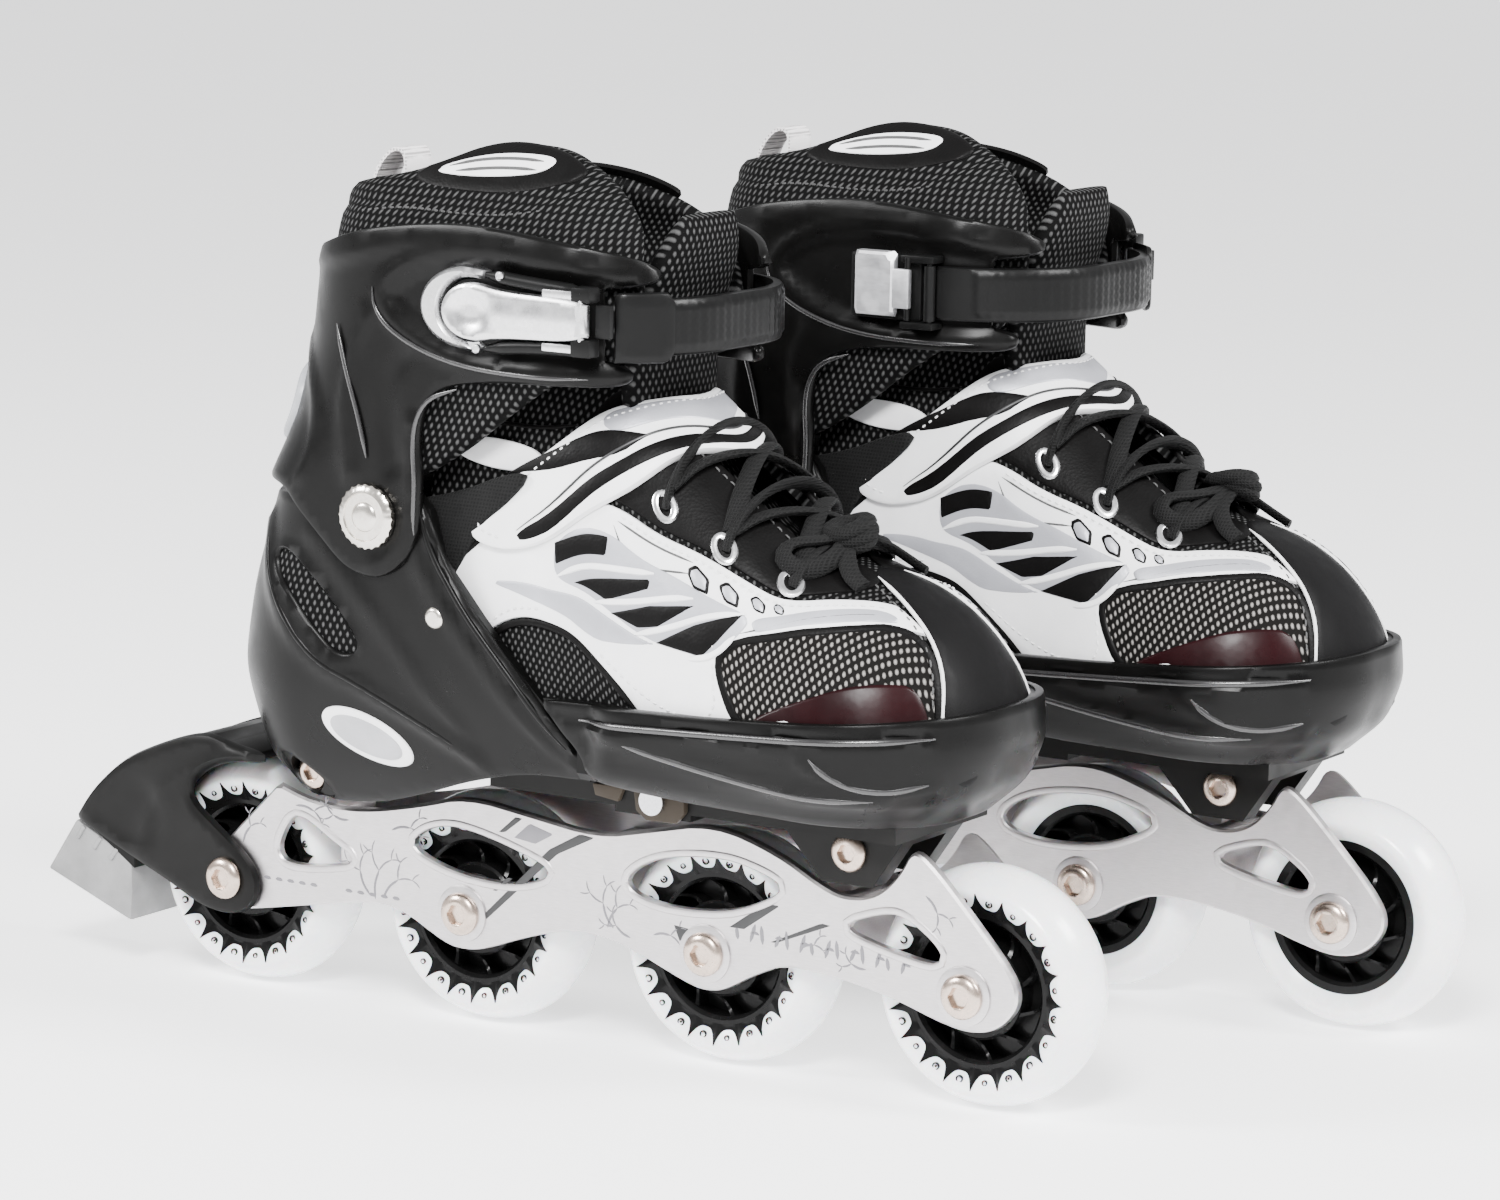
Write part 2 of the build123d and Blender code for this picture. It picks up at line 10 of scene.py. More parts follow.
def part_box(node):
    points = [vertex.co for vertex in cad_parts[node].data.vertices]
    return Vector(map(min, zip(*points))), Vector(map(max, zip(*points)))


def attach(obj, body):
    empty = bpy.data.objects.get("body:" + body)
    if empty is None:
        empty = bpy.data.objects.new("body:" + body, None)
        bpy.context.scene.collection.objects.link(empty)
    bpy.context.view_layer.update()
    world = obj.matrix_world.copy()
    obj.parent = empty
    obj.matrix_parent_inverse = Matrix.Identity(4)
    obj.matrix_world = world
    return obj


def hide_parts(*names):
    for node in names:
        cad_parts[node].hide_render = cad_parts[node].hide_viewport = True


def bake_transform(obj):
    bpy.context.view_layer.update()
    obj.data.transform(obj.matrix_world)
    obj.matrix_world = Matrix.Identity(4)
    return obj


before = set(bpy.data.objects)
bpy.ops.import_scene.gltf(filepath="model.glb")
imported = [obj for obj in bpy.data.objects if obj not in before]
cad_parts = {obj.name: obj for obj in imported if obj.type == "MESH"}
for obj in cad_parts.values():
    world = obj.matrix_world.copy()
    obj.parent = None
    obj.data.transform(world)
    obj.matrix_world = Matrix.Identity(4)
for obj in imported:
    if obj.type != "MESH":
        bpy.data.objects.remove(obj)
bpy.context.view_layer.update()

# A pair of inline skates. Each skate is drawn once in its own frame, in millimetres:
# x = 0 at the rear axle, +x to the toe, z = 0 on the ground, the outer side at -y.
# The left skate is the mirror image of the right one.
MM = 0.001
SIDES = ("right", "left")
WHEEL_R = 35.0
WHEEL_PITCH = 86.0
AXLES = [i * WHEEL_PITCH for i in range(4)]


def origin_of(side):
    """Where a skate's own origin lies in the row frame, from its rear wheel."""
    low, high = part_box(f"{side}_wheel_1_tyre")
    return np.array([(low.x + high.x) / 2, (low.y + high.y) / 2, 0.0])


ORIGIN = {side: origin_of(side) for side in SIDES}
MIRROR = {"right": 1.0, "left": -1.0}
HALVES = ((1, "outer"), (-1, "inner"))      # the sign of a boot's u or v on each half
FACES = ((-1, "outer"), (1, "inner"))       # the sign of y on each face


def to_row(points, side):
    """Points of a skate, in millimetres, as points of the row frame, in metres."""
    points = np.asarray(points, float).reshape(-1, 3)
    return points * MM * np.array([1.0, MIRROR[side], 1.0]) + ORIGIN[side]


# --- outlines ---
def rounded(points, passes=2, closed=True):
    """An outline with its corners cut round; a corner given twice stays sharper."""
    curve = np.asarray(points, float)
    for _ in range(passes):
        after = np.roll(curve, -1, axis=0) if closed else curve[1:]
        before = curve if closed else curve[:-1]
        cut = np.empty((2 * len(before), curve.shape[1]))
        cut[0::2] = 0.75 * before + 0.25 * after
        cut[1::2] = 0.25 * before + 0.75 * after
        curve = cut if closed else np.vstack([curve[:1], cut, curve[-1:]])
    return curve


def resampled(points, step, closed=True):
    """A curve with its points set evenly, about a step apart."""
    curve = np.asarray(points, float)
    if closed:
        curve = np.vstack([curve, curve[:1]])
    run = np.linalg.norm(np.diff(curve, axis=0), axis=1)
    keep = np.concatenate([[True], run > 1e-6])
    curve = curve[keep]
    along = np.concatenate([[0.0], np.cumsum(run[run > 1e-6])])
    count = max(int(round(along[-1] / step)), 4)
    at = np.linspace(0, along[-1], count + 1)
    if closed:
        at = at[:-1]
    return np.column_stack([np.interp(at, along, curve[:, k]) for k in range(curve.shape[1])])


def signed_area(loop):
    """Area of a loop, above zero when its points run counter-clockwise."""
    x, y = loop[:, 0], loop[:, 1]
    return 0.5 * np.sum(x * np.roll(y, -1) - np.roll(x, -1) * y)


def ordered(loop):
    """A loop with its points running counter-clockwise."""
    return loop if signed_area(loop) > 0 else loop[::-1]


def inside(points, loop):
    """Which points lie inside a closed loop."""
    x, y = points[:, 0][:, None], points[:, 1][:, None]
    x1, y1 = loop[:, 0][None], loop[:, 1][None]
    x2, y2 = np.roll(loop[:, 0], -1)[None], np.roll(loop[:, 1], -1)[None]
    spans = (y1 > y) != (y2 > y)
    slope = np.where(spans, (x2 - x1) * (y - y1) / np.where(spans, y2 - y1, 1.0) + x1, -1e9)
    return (np.sum(spans & (x < slope), axis=1) % 2) == 1


def within(points, loops):
    """Which points lie inside the first loop and outside the others."""
    keep = inside(points, loops[0])
    for hole in loops[1:]:
        keep &= ~inside(points, hole)
    return keep


def distance_to(points, loops):
    """Distance of each point from the nearest loop."""
    best = np.full(len(points), 1e9)
    for loop in loops:
        a, b = loop, np.roll(loop, -1, axis=0)
        run = b - a
        square = np.maximum(np.sum(run * run, axis=1), 1e-12)
        for start in range(0, len(points), 2000):
            p = points[start:start + 2000]
            t = np.clip(np.einsum("ijk,jk->ij", p[:, None] - a[None], run) / square, 0, 1)
            near = a[None] + t[..., None] * run[None]
            gap = np.sqrt(np.sum((p[:, None] - near) ** 2, axis=2)).min(axis=1)
            best[start:start + 2000] = np.minimum(best[start:start + 2000], gap)
    return best


def inset_points(loop, distance):
    """Points a set distance inside a counter-clockwise loop."""
    run = np.roll(loop, -1, axis=0) - np.roll(loop, 1, axis=0)
    normal = np.column_stack([-run[:, 1], run[:, 0]])
    normal /= np.maximum(np.linalg.norm(normal, axis=1, keepdims=True), 1e-9)
    return loop + normal * distance


def turns_of(count):
    """Angles set evenly round a full turn."""
    return 2 * math.pi * np.arange(count) / count


def circle(centre, radius, count):
    """Points round a circle."""
    turn = turns_of(count)
    return np.column_stack([centre[0] + radius * np.cos(turn), centre[1] + radius * np.sin(turn)])


def ellipse(centre, half_u, half_v, tilt=0.0):
    """Points round an ellipse, tilted by some degrees."""
    turn = turns_of(40)
    u, v = half_u * np.cos(turn), half_v * np.sin(turn)
    c, s = math.cos(math.radians(tilt)), math.sin(math.radians(tilt))
    return np.column_stack([centre[0] + u * c - v * s, centre[1] + u * s + v * c])


# --- surfaces: each takes (u, v) in millimetres and gives points ---
def eased_table(rows, spread=5.0):
    """A table by its first column, read linearly and then smoothed over a spread."""
    rows = np.asarray(rows, float)
    at = np.arange(rows[0, 0] - 3 * spread, rows[-1, 0] + 3 * spread, 0.5)
    kernel = np.exp(-0.5 * (np.arange(-3 * spread, 3 * spread + 0.1, 0.5) / spread) ** 2)
    kernel /= kernel.sum()
    columns = []
    for k in range(1, rows.shape[1]):
        first, last = rows[:2, k], rows[-2:, k]
        head = (first[1] - first[0]) / (rows[1, 0] - rows[0, 0])
        tail = (last[1] - last[0]) / (rows[-1, 0] - rows[-2, 0])
        line = np.interp(at, rows[:, 0], rows[:, k])
        line = np.where(at < rows[0, 0], first[0] + head * (at - rows[0, 0]), line)
        line = np.where(at > rows[-1, 0], last[1] + tail * (at - rows[-1, 0]), line)
        half = len(kernel) // 2
        padded = np.concatenate([2 * line[0] - line[half:0:-1], line, 2 * line[-1] - line[-2:-half - 2:-1]])
        columns.append(np.convolve(padded, kernel, "valid")[:len(at)])
    return at, columns


class RingSurface:
    """A tube of rounded level sections. u runs round it from the back (or front) middle,
    positive on the outer side, and v is the height."""

    def __init__(self, levels, start="back", spread=5.0):
        self.at, self.columns = eased_table(levels, spread)
        self.start = start

    def level(self, z):
        return [np.interp(z, self.at, column) for column in self.columns]

    def points(self, u, v):
        u, v = np.asarray(u, float), np.asarray(v, float)
        back, front, half, radius = self.level(v)
        flat, arc = half - radius, radius * math.pi / 2
        straight = front - back - 2 * radius
        run = np.abs(u)
        depth = np.zeros_like(run)
        width = np.minimum(run, flat)
        turn = np.clip((run - flat) / radius, 0, math.pi / 2)
        depth += radius * (1 - np.cos(turn))
        width += radius * np.sin(turn)
        depth += np.clip(run - flat - arc, 0, straight)
        turn = np.clip((run - flat - arc - straight) / radius, 0, math.pi / 2)
        depth += radius * np.sin(turn)
        width -= radius * (1 - np.cos(turn))
        width -= np.clip(run - flat - 2 * arc - straight, 0, flat)
        x = back + depth if self.start == "back" else front - depth
        return np.column_stack([x, -np.sign(u) * width, v])

    def u_at(self, x, z):
        """Distance round the section, from its start, to a place x in side view."""
        x, z = np.asarray(x, float), np.asarray(z, float)
        back, front, half, radius = self.level(z)
        depth = x - back if self.start == "back" else front - x
        straight = front - back - 2 * radius
        near = np.arccos(np.clip(1 - depth / radius, -1, 1)) * radius
        far = np.arcsin(np.clip((depth - radius - straight) / radius, 0, 1)) * radius
        quarter = radius * math.pi / 2
        run = np.where(depth < radius, near, quarter + np.minimum(depth - radius, straight) + far)
        return half - radius + run


VAMP_TOP = [
    (86, 208), (120, 207), (141, 203), (165, 183.5), (185, 168), (204, 153), (217, 149), (231, 144.5),
    (243, 137), (252, 126.5), (259, 114), (265, 95),
]
VAMP_HALF = [
    (86, 36.5), (120, 37.5), (141, 38.5), (165, 41.5), (185, 44.5), (204, 45.8), (216, 45.8), (231, 43.5),
    (243, 38), (251, 31), (257.5, 20), (262, 10),
]
VAMP_LOW = 92.0
VAMP_POWER = 2.35


class VampSurface:
    """The forefoot's arch. u is x, and v is the distance round the arch from its crest,
    positive on the outer side."""

    def __init__(self, grow=0.0):
        self.top = eased_table(VAMP_TOP, 4.0)
        self.half = eased_table(VAMP_HALF, 4.0)
        self.grow = grow
        turn = np.linspace(0, math.pi / 2, 60)
        self.sine = np.sin(turn) ** (2 / VAMP_POWER)
        self.cosine = np.cos(turn) ** (2 / VAMP_POWER)

    def section(self, x):
        """Height and half width of the arch at x."""
        height = np.interp(x, self.top[0], self.top[1][0]) + self.grow - VAMP_LOW
        return height, np.interp(x, self.half[0], self.half[1][0]) + self.grow

    def points(self, u, v):
        u, v = np.asarray(u, float), np.asarray(v, float)
        height, half = self.section(u)
        result = np.empty((len(u), 3))
        y = half[:, None] * self.sine[None]
        z = height[:, None] * self.cosine[None]
        girth = np.concatenate([np.zeros((len(u), 1)),
                                np.cumsum(np.hypot(np.diff(y), np.diff(z)), axis=1)], axis=1)
        run = np.minimum(np.abs(v), girth[:, -1])
        below = np.abs(v) - run
        for i in range(len(u)):
            result[i, 1] = np.interp(run[i], girth[i], y[i])
            result[i, 2] = np.interp(run[i], girth[i], z[i])
        result[:, 0] = u
        result[:, 1] *= -np.sign(v)
        result[:, 2] += VAMP_LOW - below
        return result

    def girth_at(self, x, z):
        """Distance round the arch from the crest down to a height, on the outer side."""
        height, half = self.section(x)
        y, rise = half * self.sine, height * self.cosine
        girth = np.concatenate([[0.0], np.cumsum(np.hypot(np.diff(y), np.diff(rise)))])
        return np.interp(-(z - VAMP_LOW), -rise, girth)


class ToeSurface(RingSurface):
    """The toe shell's rings, drawn in at the back where they lie along the heel shell."""

    def points(self, u, v):
        result = super().points(u, v)
        limit = np.interp(result[:, 0], [90, 132, 150, 174], [42.6, 42.8, 43.8, 60])
        width = np.abs(result[:, 1])
        result[:, 1] = np.sign(result[:, 1]) * (width - np.logaddexp(0, (width - limit) / 1.2) * 1.2)
        return result


class PlanSurface:
    """A level plane facing up. u is x and v is y."""

    def __init__(self, z):
        self.z = z

    def points(self, u, v):
        return np.column_stack([u, v, np.full(len(u), self.z)])


class FlatSurface:
    """An upright plane facing the outer or inner side. u is x and v is z."""

    def __init__(self, y):
        self.y = y

    def points(self, u, v):
        return np.column_stack([u, np.full(len(u), self.y), v])


HEEL_SURFACE = RingSurface([
    (64, 23, 170, 24, 20), (80, 14, 170, 33, 26), (105, 8, 170, 41, 33),
    (130, 12, 170, 43, 36), (175, 26, 170, 43, 36),
])
CUFF_SURFACE = RingSurface([
    (130, 15, 167, 46.5, 30), (160, 19.5, 167, 46.5, 30), (182, 27.5, 167, 46.5, 38.5),
    (203, 33, 167, 46.5, 38.5), (245, 38, 167, 46.5, 38),
])
BOOT_SURFACE = RingSurface([
    (84.5, 20.5, 170, 29.5, 24), (105, 11.8, 170, 37.2, 30), (130, 15.8, 170, 39.4, 33),
    (190, 34.5, 170, 39.4, 33),
])
STRAP_SURFACE = RingSurface([(195, 60, 170, 47.4, 38.4), (240, 60, 170, 47.4, 38.4)], start="front")
COLLAR_SURFACE = RingSurface([
    (160, 23.1, 162.5, 42.9, 27), (182, 31.1, 162.5, 42.9, 35.5), (203, 36.6, 162.5, 42.9, 35.5),
    (238, 41, 162.5, 42.9, 35), (254, 44, 154, 33, 27), (270, 50, 140, 16, 14),
])
TOE_SURFACE = ToeSurface([
    (78, 100, 243, 35, 31), (83.9, 100, 249, 38.5, 35), (92, 100, 258.5, 45.5, 41),
    (104, 100, 263, 48.5, 44), (118, 100, 261.5, 48, 43),
], start="front", spread=2.0)
VAMP = VampSurface()
VAMP_STRAP = VampSurface(3.4)


def normals(surface, u, v, hand):
    """Unit normals of a surface, turned to the hand that faces outwards."""
    step = 0.5
    du = surface.points(u + step, v) - surface.points(u - step, v)
    dv = surface.points(u, v + step) - surface.points(u, v - step)
    normal = np.cross(du, dv) * hand
    length = np.linalg.norm(normal, axis=1, keepdims=True)
    return normal / np.maximum(length, 1e-9)


def hand_of(surface, u, v):
    """The sign that turns du x dv away from the middle plane or the section's centre."""
    if isinstance(surface, PlanSurface):
        return 1.0
    u, v = np.array([u], float), np.array([v], float)
    point = surface.points(u, v)[0]
    normal = normals(surface, u, v, 1.0)[0]
    outward = np.array([0.0, math.copysign(1.0, point[1]) if abs(point[1]) > 1e-6 else -1.0, 0.0])
    return 1.0 if np.dot(normal, outward) > 0 else -1.0


# --- meshes ---
def new_piece(name, side, body, verts, faces, finish, uv, sharp=40.0, replaces=()):
    """A mesh piece from a skate's own points, riding on one of that skate's bodies. A piece
    made with body None rides on no body."""
    mesh = bpy.data.meshes.new(f"{side}_{name}")
    mesh.from_pydata(to_row(verts, side).tolist(), [], [list(face) for face in faces])
    layer = mesh.uv_layers.new(name="surface")
    index = np.empty(len(mesh.loops), np.int32)
    mesh.loops.foreach_get("vertex_index", index)
    layer.data.foreach_set("uv", (np.asarray(uv, float)[index] * MM).ravel())
    shape = bmesh.new()
    shape.from_mesh(mesh)
    bmesh.ops.recalc_face_normals(shape, faces=shape.faces)
    shape.to_mesh(mesh)
    shape.free()
    mesh.shade_smooth()
    mesh.set_sharp_from_angle(angle=math.radians(sharp))
    obj = bpy.data.objects.new(f"{side}_{name}", mesh)
    bpy.context.scene.collection.objects.link(obj)
    obj.data.materials.append(FINISH[finish])
    if body is not None:
        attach(obj, f"{side}_{body}")
    if replaces:
        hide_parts(*[f"{side}_{node}" for node in replaces])
    return obj


class Shape:
    """Vertices and faces gathered from several simple closed forms."""

    def __init__(self):
        self.verts, self.faces, self.uv = [], [], []

    def add(self, verts, faces, uv=None):
        start = len(self.verts)
        verts = np.asarray(verts, float)
        self.verts.extend(verts.tolist())
        self.uv.extend((verts[:, [0, 2]] if uv is None else np.asarray(uv)).tolist())
        self.faces.extend([tuple(start + i for i in face) for face in faces])
        return self

    def rings(self, rings, closed=False):
        """Skins rings of points; the ends are capped unless the rings close on themselves."""
        rings = [np.asarray(ring, float) for ring in rings]
        count, n = len(rings), len(rings[0])
        faces = []
        for i in range(count if closed else count - 1):
            j = (i + 1) % count
            for k in range(n):
                m = (k + 1) % n
                faces.append((i * n + k, i * n + m, j * n + m, j * n + k))
        if not closed:
            faces.append(tuple(range(n))[::-1])
            faces.append(tuple((count - 1) * n + k for k in range(n)))
        return self.add(np.vstack(rings), faces)

    def revolve(self, profile, centre, count):
        """Turns a closed profile of (radius, y) points about an axis along y."""
        radius, along = np.asarray(profile, float).T
        rings = []
        for turn in turns_of(count):
            local = [radius * math.cos(turn), along, radius * math.sin(turn)]
            rings.append(np.column_stack(local) + np.asarray(centre, float))
        return self.rings(rings, closed=True)

    def rod(self, radius, low, high, centre, axis="y", count=24):
        """A round rod between two places along its axis, y or z."""
        rings = []
        for along in (low, high):
            loop = circle((0, 0), radius, count)
            columns = [loop[:, 0], loop[:, 1]]
            columns.insert("xyz".index(axis), np.full(count, along))
            rings.append(np.column_stack(columns) + np.asarray(centre, float))
        return self.rings(rings)


def bevelled(shape, bevel, steps=2):
    """A bmesh with its edges rounded, as (verts, faces)."""
    bmesh.ops.bevel(shape, geom=shape.edges[:], offset=bevel, segments=steps, profile=0.6, affect="EDGES")
    shape.verts.index_update()
    verts = [tuple(vertex.co) for vertex in shape.verts]
    faces = [tuple(vertex.index for vertex in face.verts) for face in shape.faces]
    shape.free()
    return np.array(verts), faces


def bevelled_box(low, high, bevel):
    """A box with its edges rounded, as (verts, faces)."""
    shape = bmesh.new()
    bmesh.ops.create_cube(shape, size=1.0)
    low, high = np.asarray(low, float), np.asarray(high, float)
    for vertex in shape.verts:
        vertex.co = Vector((low + high) / 2 + np.array(vertex.co) * (high - low))
    return bevelled(shape, bevel)


def filled(loops, edge, step):
    """Points and triangles that fill the first loop but not the others. Rows of points follow
    every edge, at a part of the edge's width and at all of it, and a grid fills the rest."""
    spots = list(loops)
    limits = []
    for distance in (0.3 * edge, edge):
        limits += [(inset_points(loop, distance), 0.93 * distance) for loop in loops]
    low, high = loops[0].min(axis=0), loops[0].max(axis=0)
    grid = []
    for i, v in enumerate(np.arange(low[1], high[1] + step, step * 0.866)):
        row = np.arange(low[0] + (i % 2) * step / 2, high[0] + step, step)
        grid.append(np.column_stack([row, np.full(len(row), v)]))
    limits.append((np.vstack(grid), edge + 0.35 * step))
    for points, limit in limits:
        points = points[within(points, loops)]
        if len(points):
            spots.append(points[distance_to(points, loops) >= limit])
    edges, start = [], 0
    for loop in loops:
        edges += [(start + k, start + (k + 1) % len(loop)) for k in range(len(loop))]
        start += len(loop)
    points, _, faces, *_ = delaunay_2d_cdt([Vector(p) for p in np.vstack(spots)], edges, [], 0, 1e-5)
    points = np.array([tuple(p) for p in points])
    faces = np.array([list(face) for face in faces if len(face) == 3])
    return points, faces[within(points[faces].mean(axis=1), loops)]


def panel_mesh(outline, surface, thick=1.0, lift=0.0, sink=0.6, edge=1.0, step=3.0,
               crown=0.0, crown_width=10.0, holes=(), relief=None, passes=2, under=False):
    """A closed sheet on a surface: rounded at its edges, with an optional crown or relief.
    With under set, its inner face is rounded at the edge too."""
    fine = min(step, max(edge, 0.8) * 1.6)
    loops = []
    for index, loop in enumerate([outline, *holes]):
        loop = resampled(rounded(loop, passes) if passes else loop, fine)
        loops.append(loop if (signed_area(loop) > 0) == (index == 0) else loop[::-1])
    points, faces = filled(loops, edge, step)
    u, v = points[:, 0], points[:, 1]
    away = distance_to(points, loops)
    round_off = np.sqrt(np.clip(1 - (1 - np.minimum(away / edge, 1.0)) ** 2, 0, 1))
    top = lift + thick * round_off
    if crown:
        top = top + crown * np.sin(np.minimum(away / crown_width, 1.0) * math.pi / 2)
    if relief is not None:
        top = top + relief(u, v) * np.minimum(away / edge, 1.0)
    bottom = lift - sink * (0.55 + 0.45 * round_off) if under else np.full(len(points), lift - sink)
    base = surface.points(u, v)
    probe = points[np.argmax(np.abs(base[:, 1]))]
    normal = normals(surface, u, v, hand_of(surface, *probe))
    verts = np.vstack([base + normal * top[:, None], base + normal * bottom[:, None]])
    count = len(points)
    solid = [tuple(face) for face in faces] + [tuple(face[::-1] + count) for face in faces]
    used = dict.fromkeys(pair for a, b, c in faces for pair in ((a, b), (b, c), (c, a)))
    solid += [(b, a, a + count, b + count) for a, b in used if (b, a) not in used]
    return verts, solid, np.vstack([points, points])


def panel(name, side, body, outline, surface, finish, slot, sharp=40.0, replaces=(), **shape):
    """A closed sheet on a surface, as a piece."""
    verts, faces, uv = panel_mesh(outline, surface, **shape)
    return new_piece(name, side, body, verts, faces, finish, uv, sharp, replaces)


def directions(line, closed):
    """Unit directions along a line of points."""
    run = np.roll(line, -1, axis=0) - np.roll(line, 1, axis=0)
    if not closed:
        run[0], run[-1] = line[1] - line[0], line[-1] - line[-2]
    return run / np.maximum(np.linalg.norm(run, axis=1, keepdims=True), 1e-9)


def narrowed(count, least, reach):
    """Sizes along an open line: the least size at both ends, and 1 from a reach of points on."""
    place = np.arange(count)
    from_end = np.minimum(place, count - 1 - place)
    return least + (1 - least) * np.minimum(from_end / reach, 1.0)


def swept(shape, line, wide, tall, sizes, sides, closed):
    """Adds an ellipse swept along a line, with half axes and a size for each point."""
    rings = [[middle + size * (w * math.cos(turn) + t * math.sin(turn)) for turn in turns_of(sides)]
             for middle, w, t, size in zip(line, wide, tall, sizes)]
    return shape.rings(rings, closed)


def cord_mesh(shape, path, surface, half_width, half_height, lift=0.0, closed=False, step=2.0,
              sides=8, passes=2):
    """A bead that follows a path of (u, v) points over a surface, added to a shape. An open
    bead narrows at its ends."""
    path = resampled(rounded(path, passes, closed) if passes else path, step, closed)
    u, v = path[:, 0], path[:, 1]
    line = surface.points(u, v)
    probe = path[np.argmax(np.abs(line[:, 1]))]
    normal = normals(surface, u, v, hand_of(surface, *probe))
    wide = np.cross(normal, directions(line, closed)) * half_width
    count = len(line)
    sizes = np.ones(count) if closed else narrowed(count, 0.25, max(1.0, 0.12 * count))
    return swept(shape, line + normal * lift, wide, normal * half_height, sizes, sides, closed)


def shape_piece(name, side, body, shape, finish, sharp=40.0, replaces=()):
    """A gathered shape, as a piece."""
    return new_piece(name, side, body, np.array(shape.verts), shape.faces, finish,
                     np.array(shape.uv), sharp, replaces)


# --- materials ---
class Finish:
    """A Principled material and the node chains that give it its detail."""

    def __init__(self, name, colour, rough, metal=0.0, **sockets):
        self.material = bpy.data.materials.new(name)
        self.material.use_nodes = True
        self.tree = self.material.node_tree
        self.shader = self.tree.nodes["Principled BSDF"]
        self.shader.inputs["Base Color"].default_value = (*colour, 1)
        self.shader.inputs["Roughness"].default_value = rough
        self.shader.inputs["Metallic"].default_value = metal
        for socket, value in sockets.items():
            self.shader.inputs[socket.replace("_", " ")].default_value = value
        self.height = None

    def node(self, kind, **inputs):
        made = self.tree.nodes.new("ShaderNode" + kind)
        for name, value in inputs.items():
            made.inputs[name.replace("_", " ")].default_value = value
        return made

    def link(self, out, into):
        self.tree.links.new(out, into)

    def place(self, uv=False, turn=0.0, scale=(1, 1, 1)):
        """Coordinates from the piece's surface map or from its place in the row."""
        mapping = self.node("Mapping")
        mapping.inputs["Rotation"].default_value = (0, 0, math.radians(turn))
        mapping.inputs["Scale"].default_value = scale
        if uv:
            source = self.node("UVMap")
            source.uv_map = "surface"
            self.link(source.outputs["UV"], mapping.inputs["Vector"])
        else:
            self.link(self.node("TexCoord").outputs["Object"], mapping.inputs["Vector"])
        return mapping.outputs["Vector"]

    def noise(self, size, detail=3.0, where=None):
        """Noise whose blobs are about a size in metres across."""
        made = self.node("TexNoise", Scale=1.0 / size, Detail=detail, Roughness=0.55)
        self.link(where or self.place(), made.inputs["Vector"])
        return made.outputs["Fac"]

    def waves(self, period, where):
        """Bands across X with a period in metres."""
        made = self.node("TexWave", Scale=0.31416 / period)
        made.wave_profile = "SIN"
        self.link(where, made.inputs["Vector"])
        return made.outputs["Fac"]

    def cells(self, size):
        """Distance from the middle of each pebble of about a size in metres."""
        made = self.node("TexVoronoi", Scale=1.0 / size)
        self.link(self.place(), made.inputs["Vector"])
        return made.outputs["Distance"]

    def maths(self, operation, a, b):
        made = self.node("Math")
        made.operation = operation
        for index, value in enumerate((a, b)):
            if isinstance(value, (int, float)):
                made.inputs[index].default_value = value
            else:
                self.link(value, made.inputs[index])
        return made.outputs[0]

    def colours(self, value, *stops):
        """Base colour from a value, through (position, colour) stops."""
        ramp = self.node("ValToRGB")
        elements = ramp.color_ramp.elements
        while len(elements) < len(stops):
            elements.new(0.5)
        for element, (position, colour) in zip(elements, stops):
            element.position = position
            element.color = (*colour, 1)
        self.link(value, ramp.inputs["Fac"])
        self.link(ramp.outputs["Color"], self.shader.inputs["Base Color"])

    def gloss(self, value, low, high):
        """Roughness that runs from low to high with a value."""
        made = self.node("MapRange")
        for name, number in (("From Min", 0.25), ("From Max", 0.75), ("To Min", low), ("To Max", high)):
            made.inputs[name].default_value = number
        self.link(value, made.inputs["Value"])
        self.link(made.outputs["Result"], self.shader.inputs["Roughness"])

    def raised(self, value, depth, strength=1.0):
        """Bump of a depth in metres from a value, on top of what is there."""
        bump = self.node("Bump", Distance=depth, Strength=strength)
        self.link(value, bump.inputs["Height"])
        if self.height is not None:
            self.link(self.height, bump.inputs["Normal"])
        self.height = bump.outputs["Normal"]
        self.link(self.height, self.shader.inputs["Normal"])
        return self


def grey(level, warm=0.0):
    """A grey, with a share of warmth moved from blue to red."""
    return (level * (1 + warm), level, level * (1 - warm))


def moulded(name, level, rough, warm=0.03, grain=0.00035):
    """Moulded plastic: a fine spark-eroded grain, and slow changes of tone and gloss."""
    made = Finish(name, grey(level, warm), rough, Specular_IOR_Level=0.12)
    slow = made.noise(0.03, 4.0)
    made.colours(slow, (0.3, grey(level * 0.75, warm)), (0.7, grey(level * 1.35, warm)))
    made.gloss(made.noise(0.008, 5.0), rough - 0.06, rough + 0.08)
    return made.raised(made.noise(grain, 2.0), 0.00004, 0.6)


def metal(name, colour, rough, along=(1, 1, 1), depth=0.00001):
    """Machined metal with a faint drawn grain."""
    made = Finish(name, colour, rough, 1.0)
    drawn = made.noise(0.0009, 3.0, made.place(scale=along))
    dark = tuple(c * 0.86 for c in colour)
    made.colours(drawn, (0.3, dark), (0.7, colour))
    made.gloss(made.noise(0.004, 4.0), rough - 0.05, rough + 0.09)
    return made.raised(drawn, depth, 0.7)


def coated(name, colour, rough, grain=0.0006, depth=0.00005, shade=0.9, **sockets):
    """Synthetic leather: a pebbled grain under a slight soiling."""
    made = Finish(name, colour, rough, **sockets)
    soil = made.noise(0.018, 5.0)
    made.colours(soil, (0.3, tuple(c * shade for c in colour)), (0.65, colour))
    made.gloss(made.noise(0.006, 3.0), rough - 0.05, rough + 0.08)
    return made.raised(made.cells(grain), depth, 0.5)


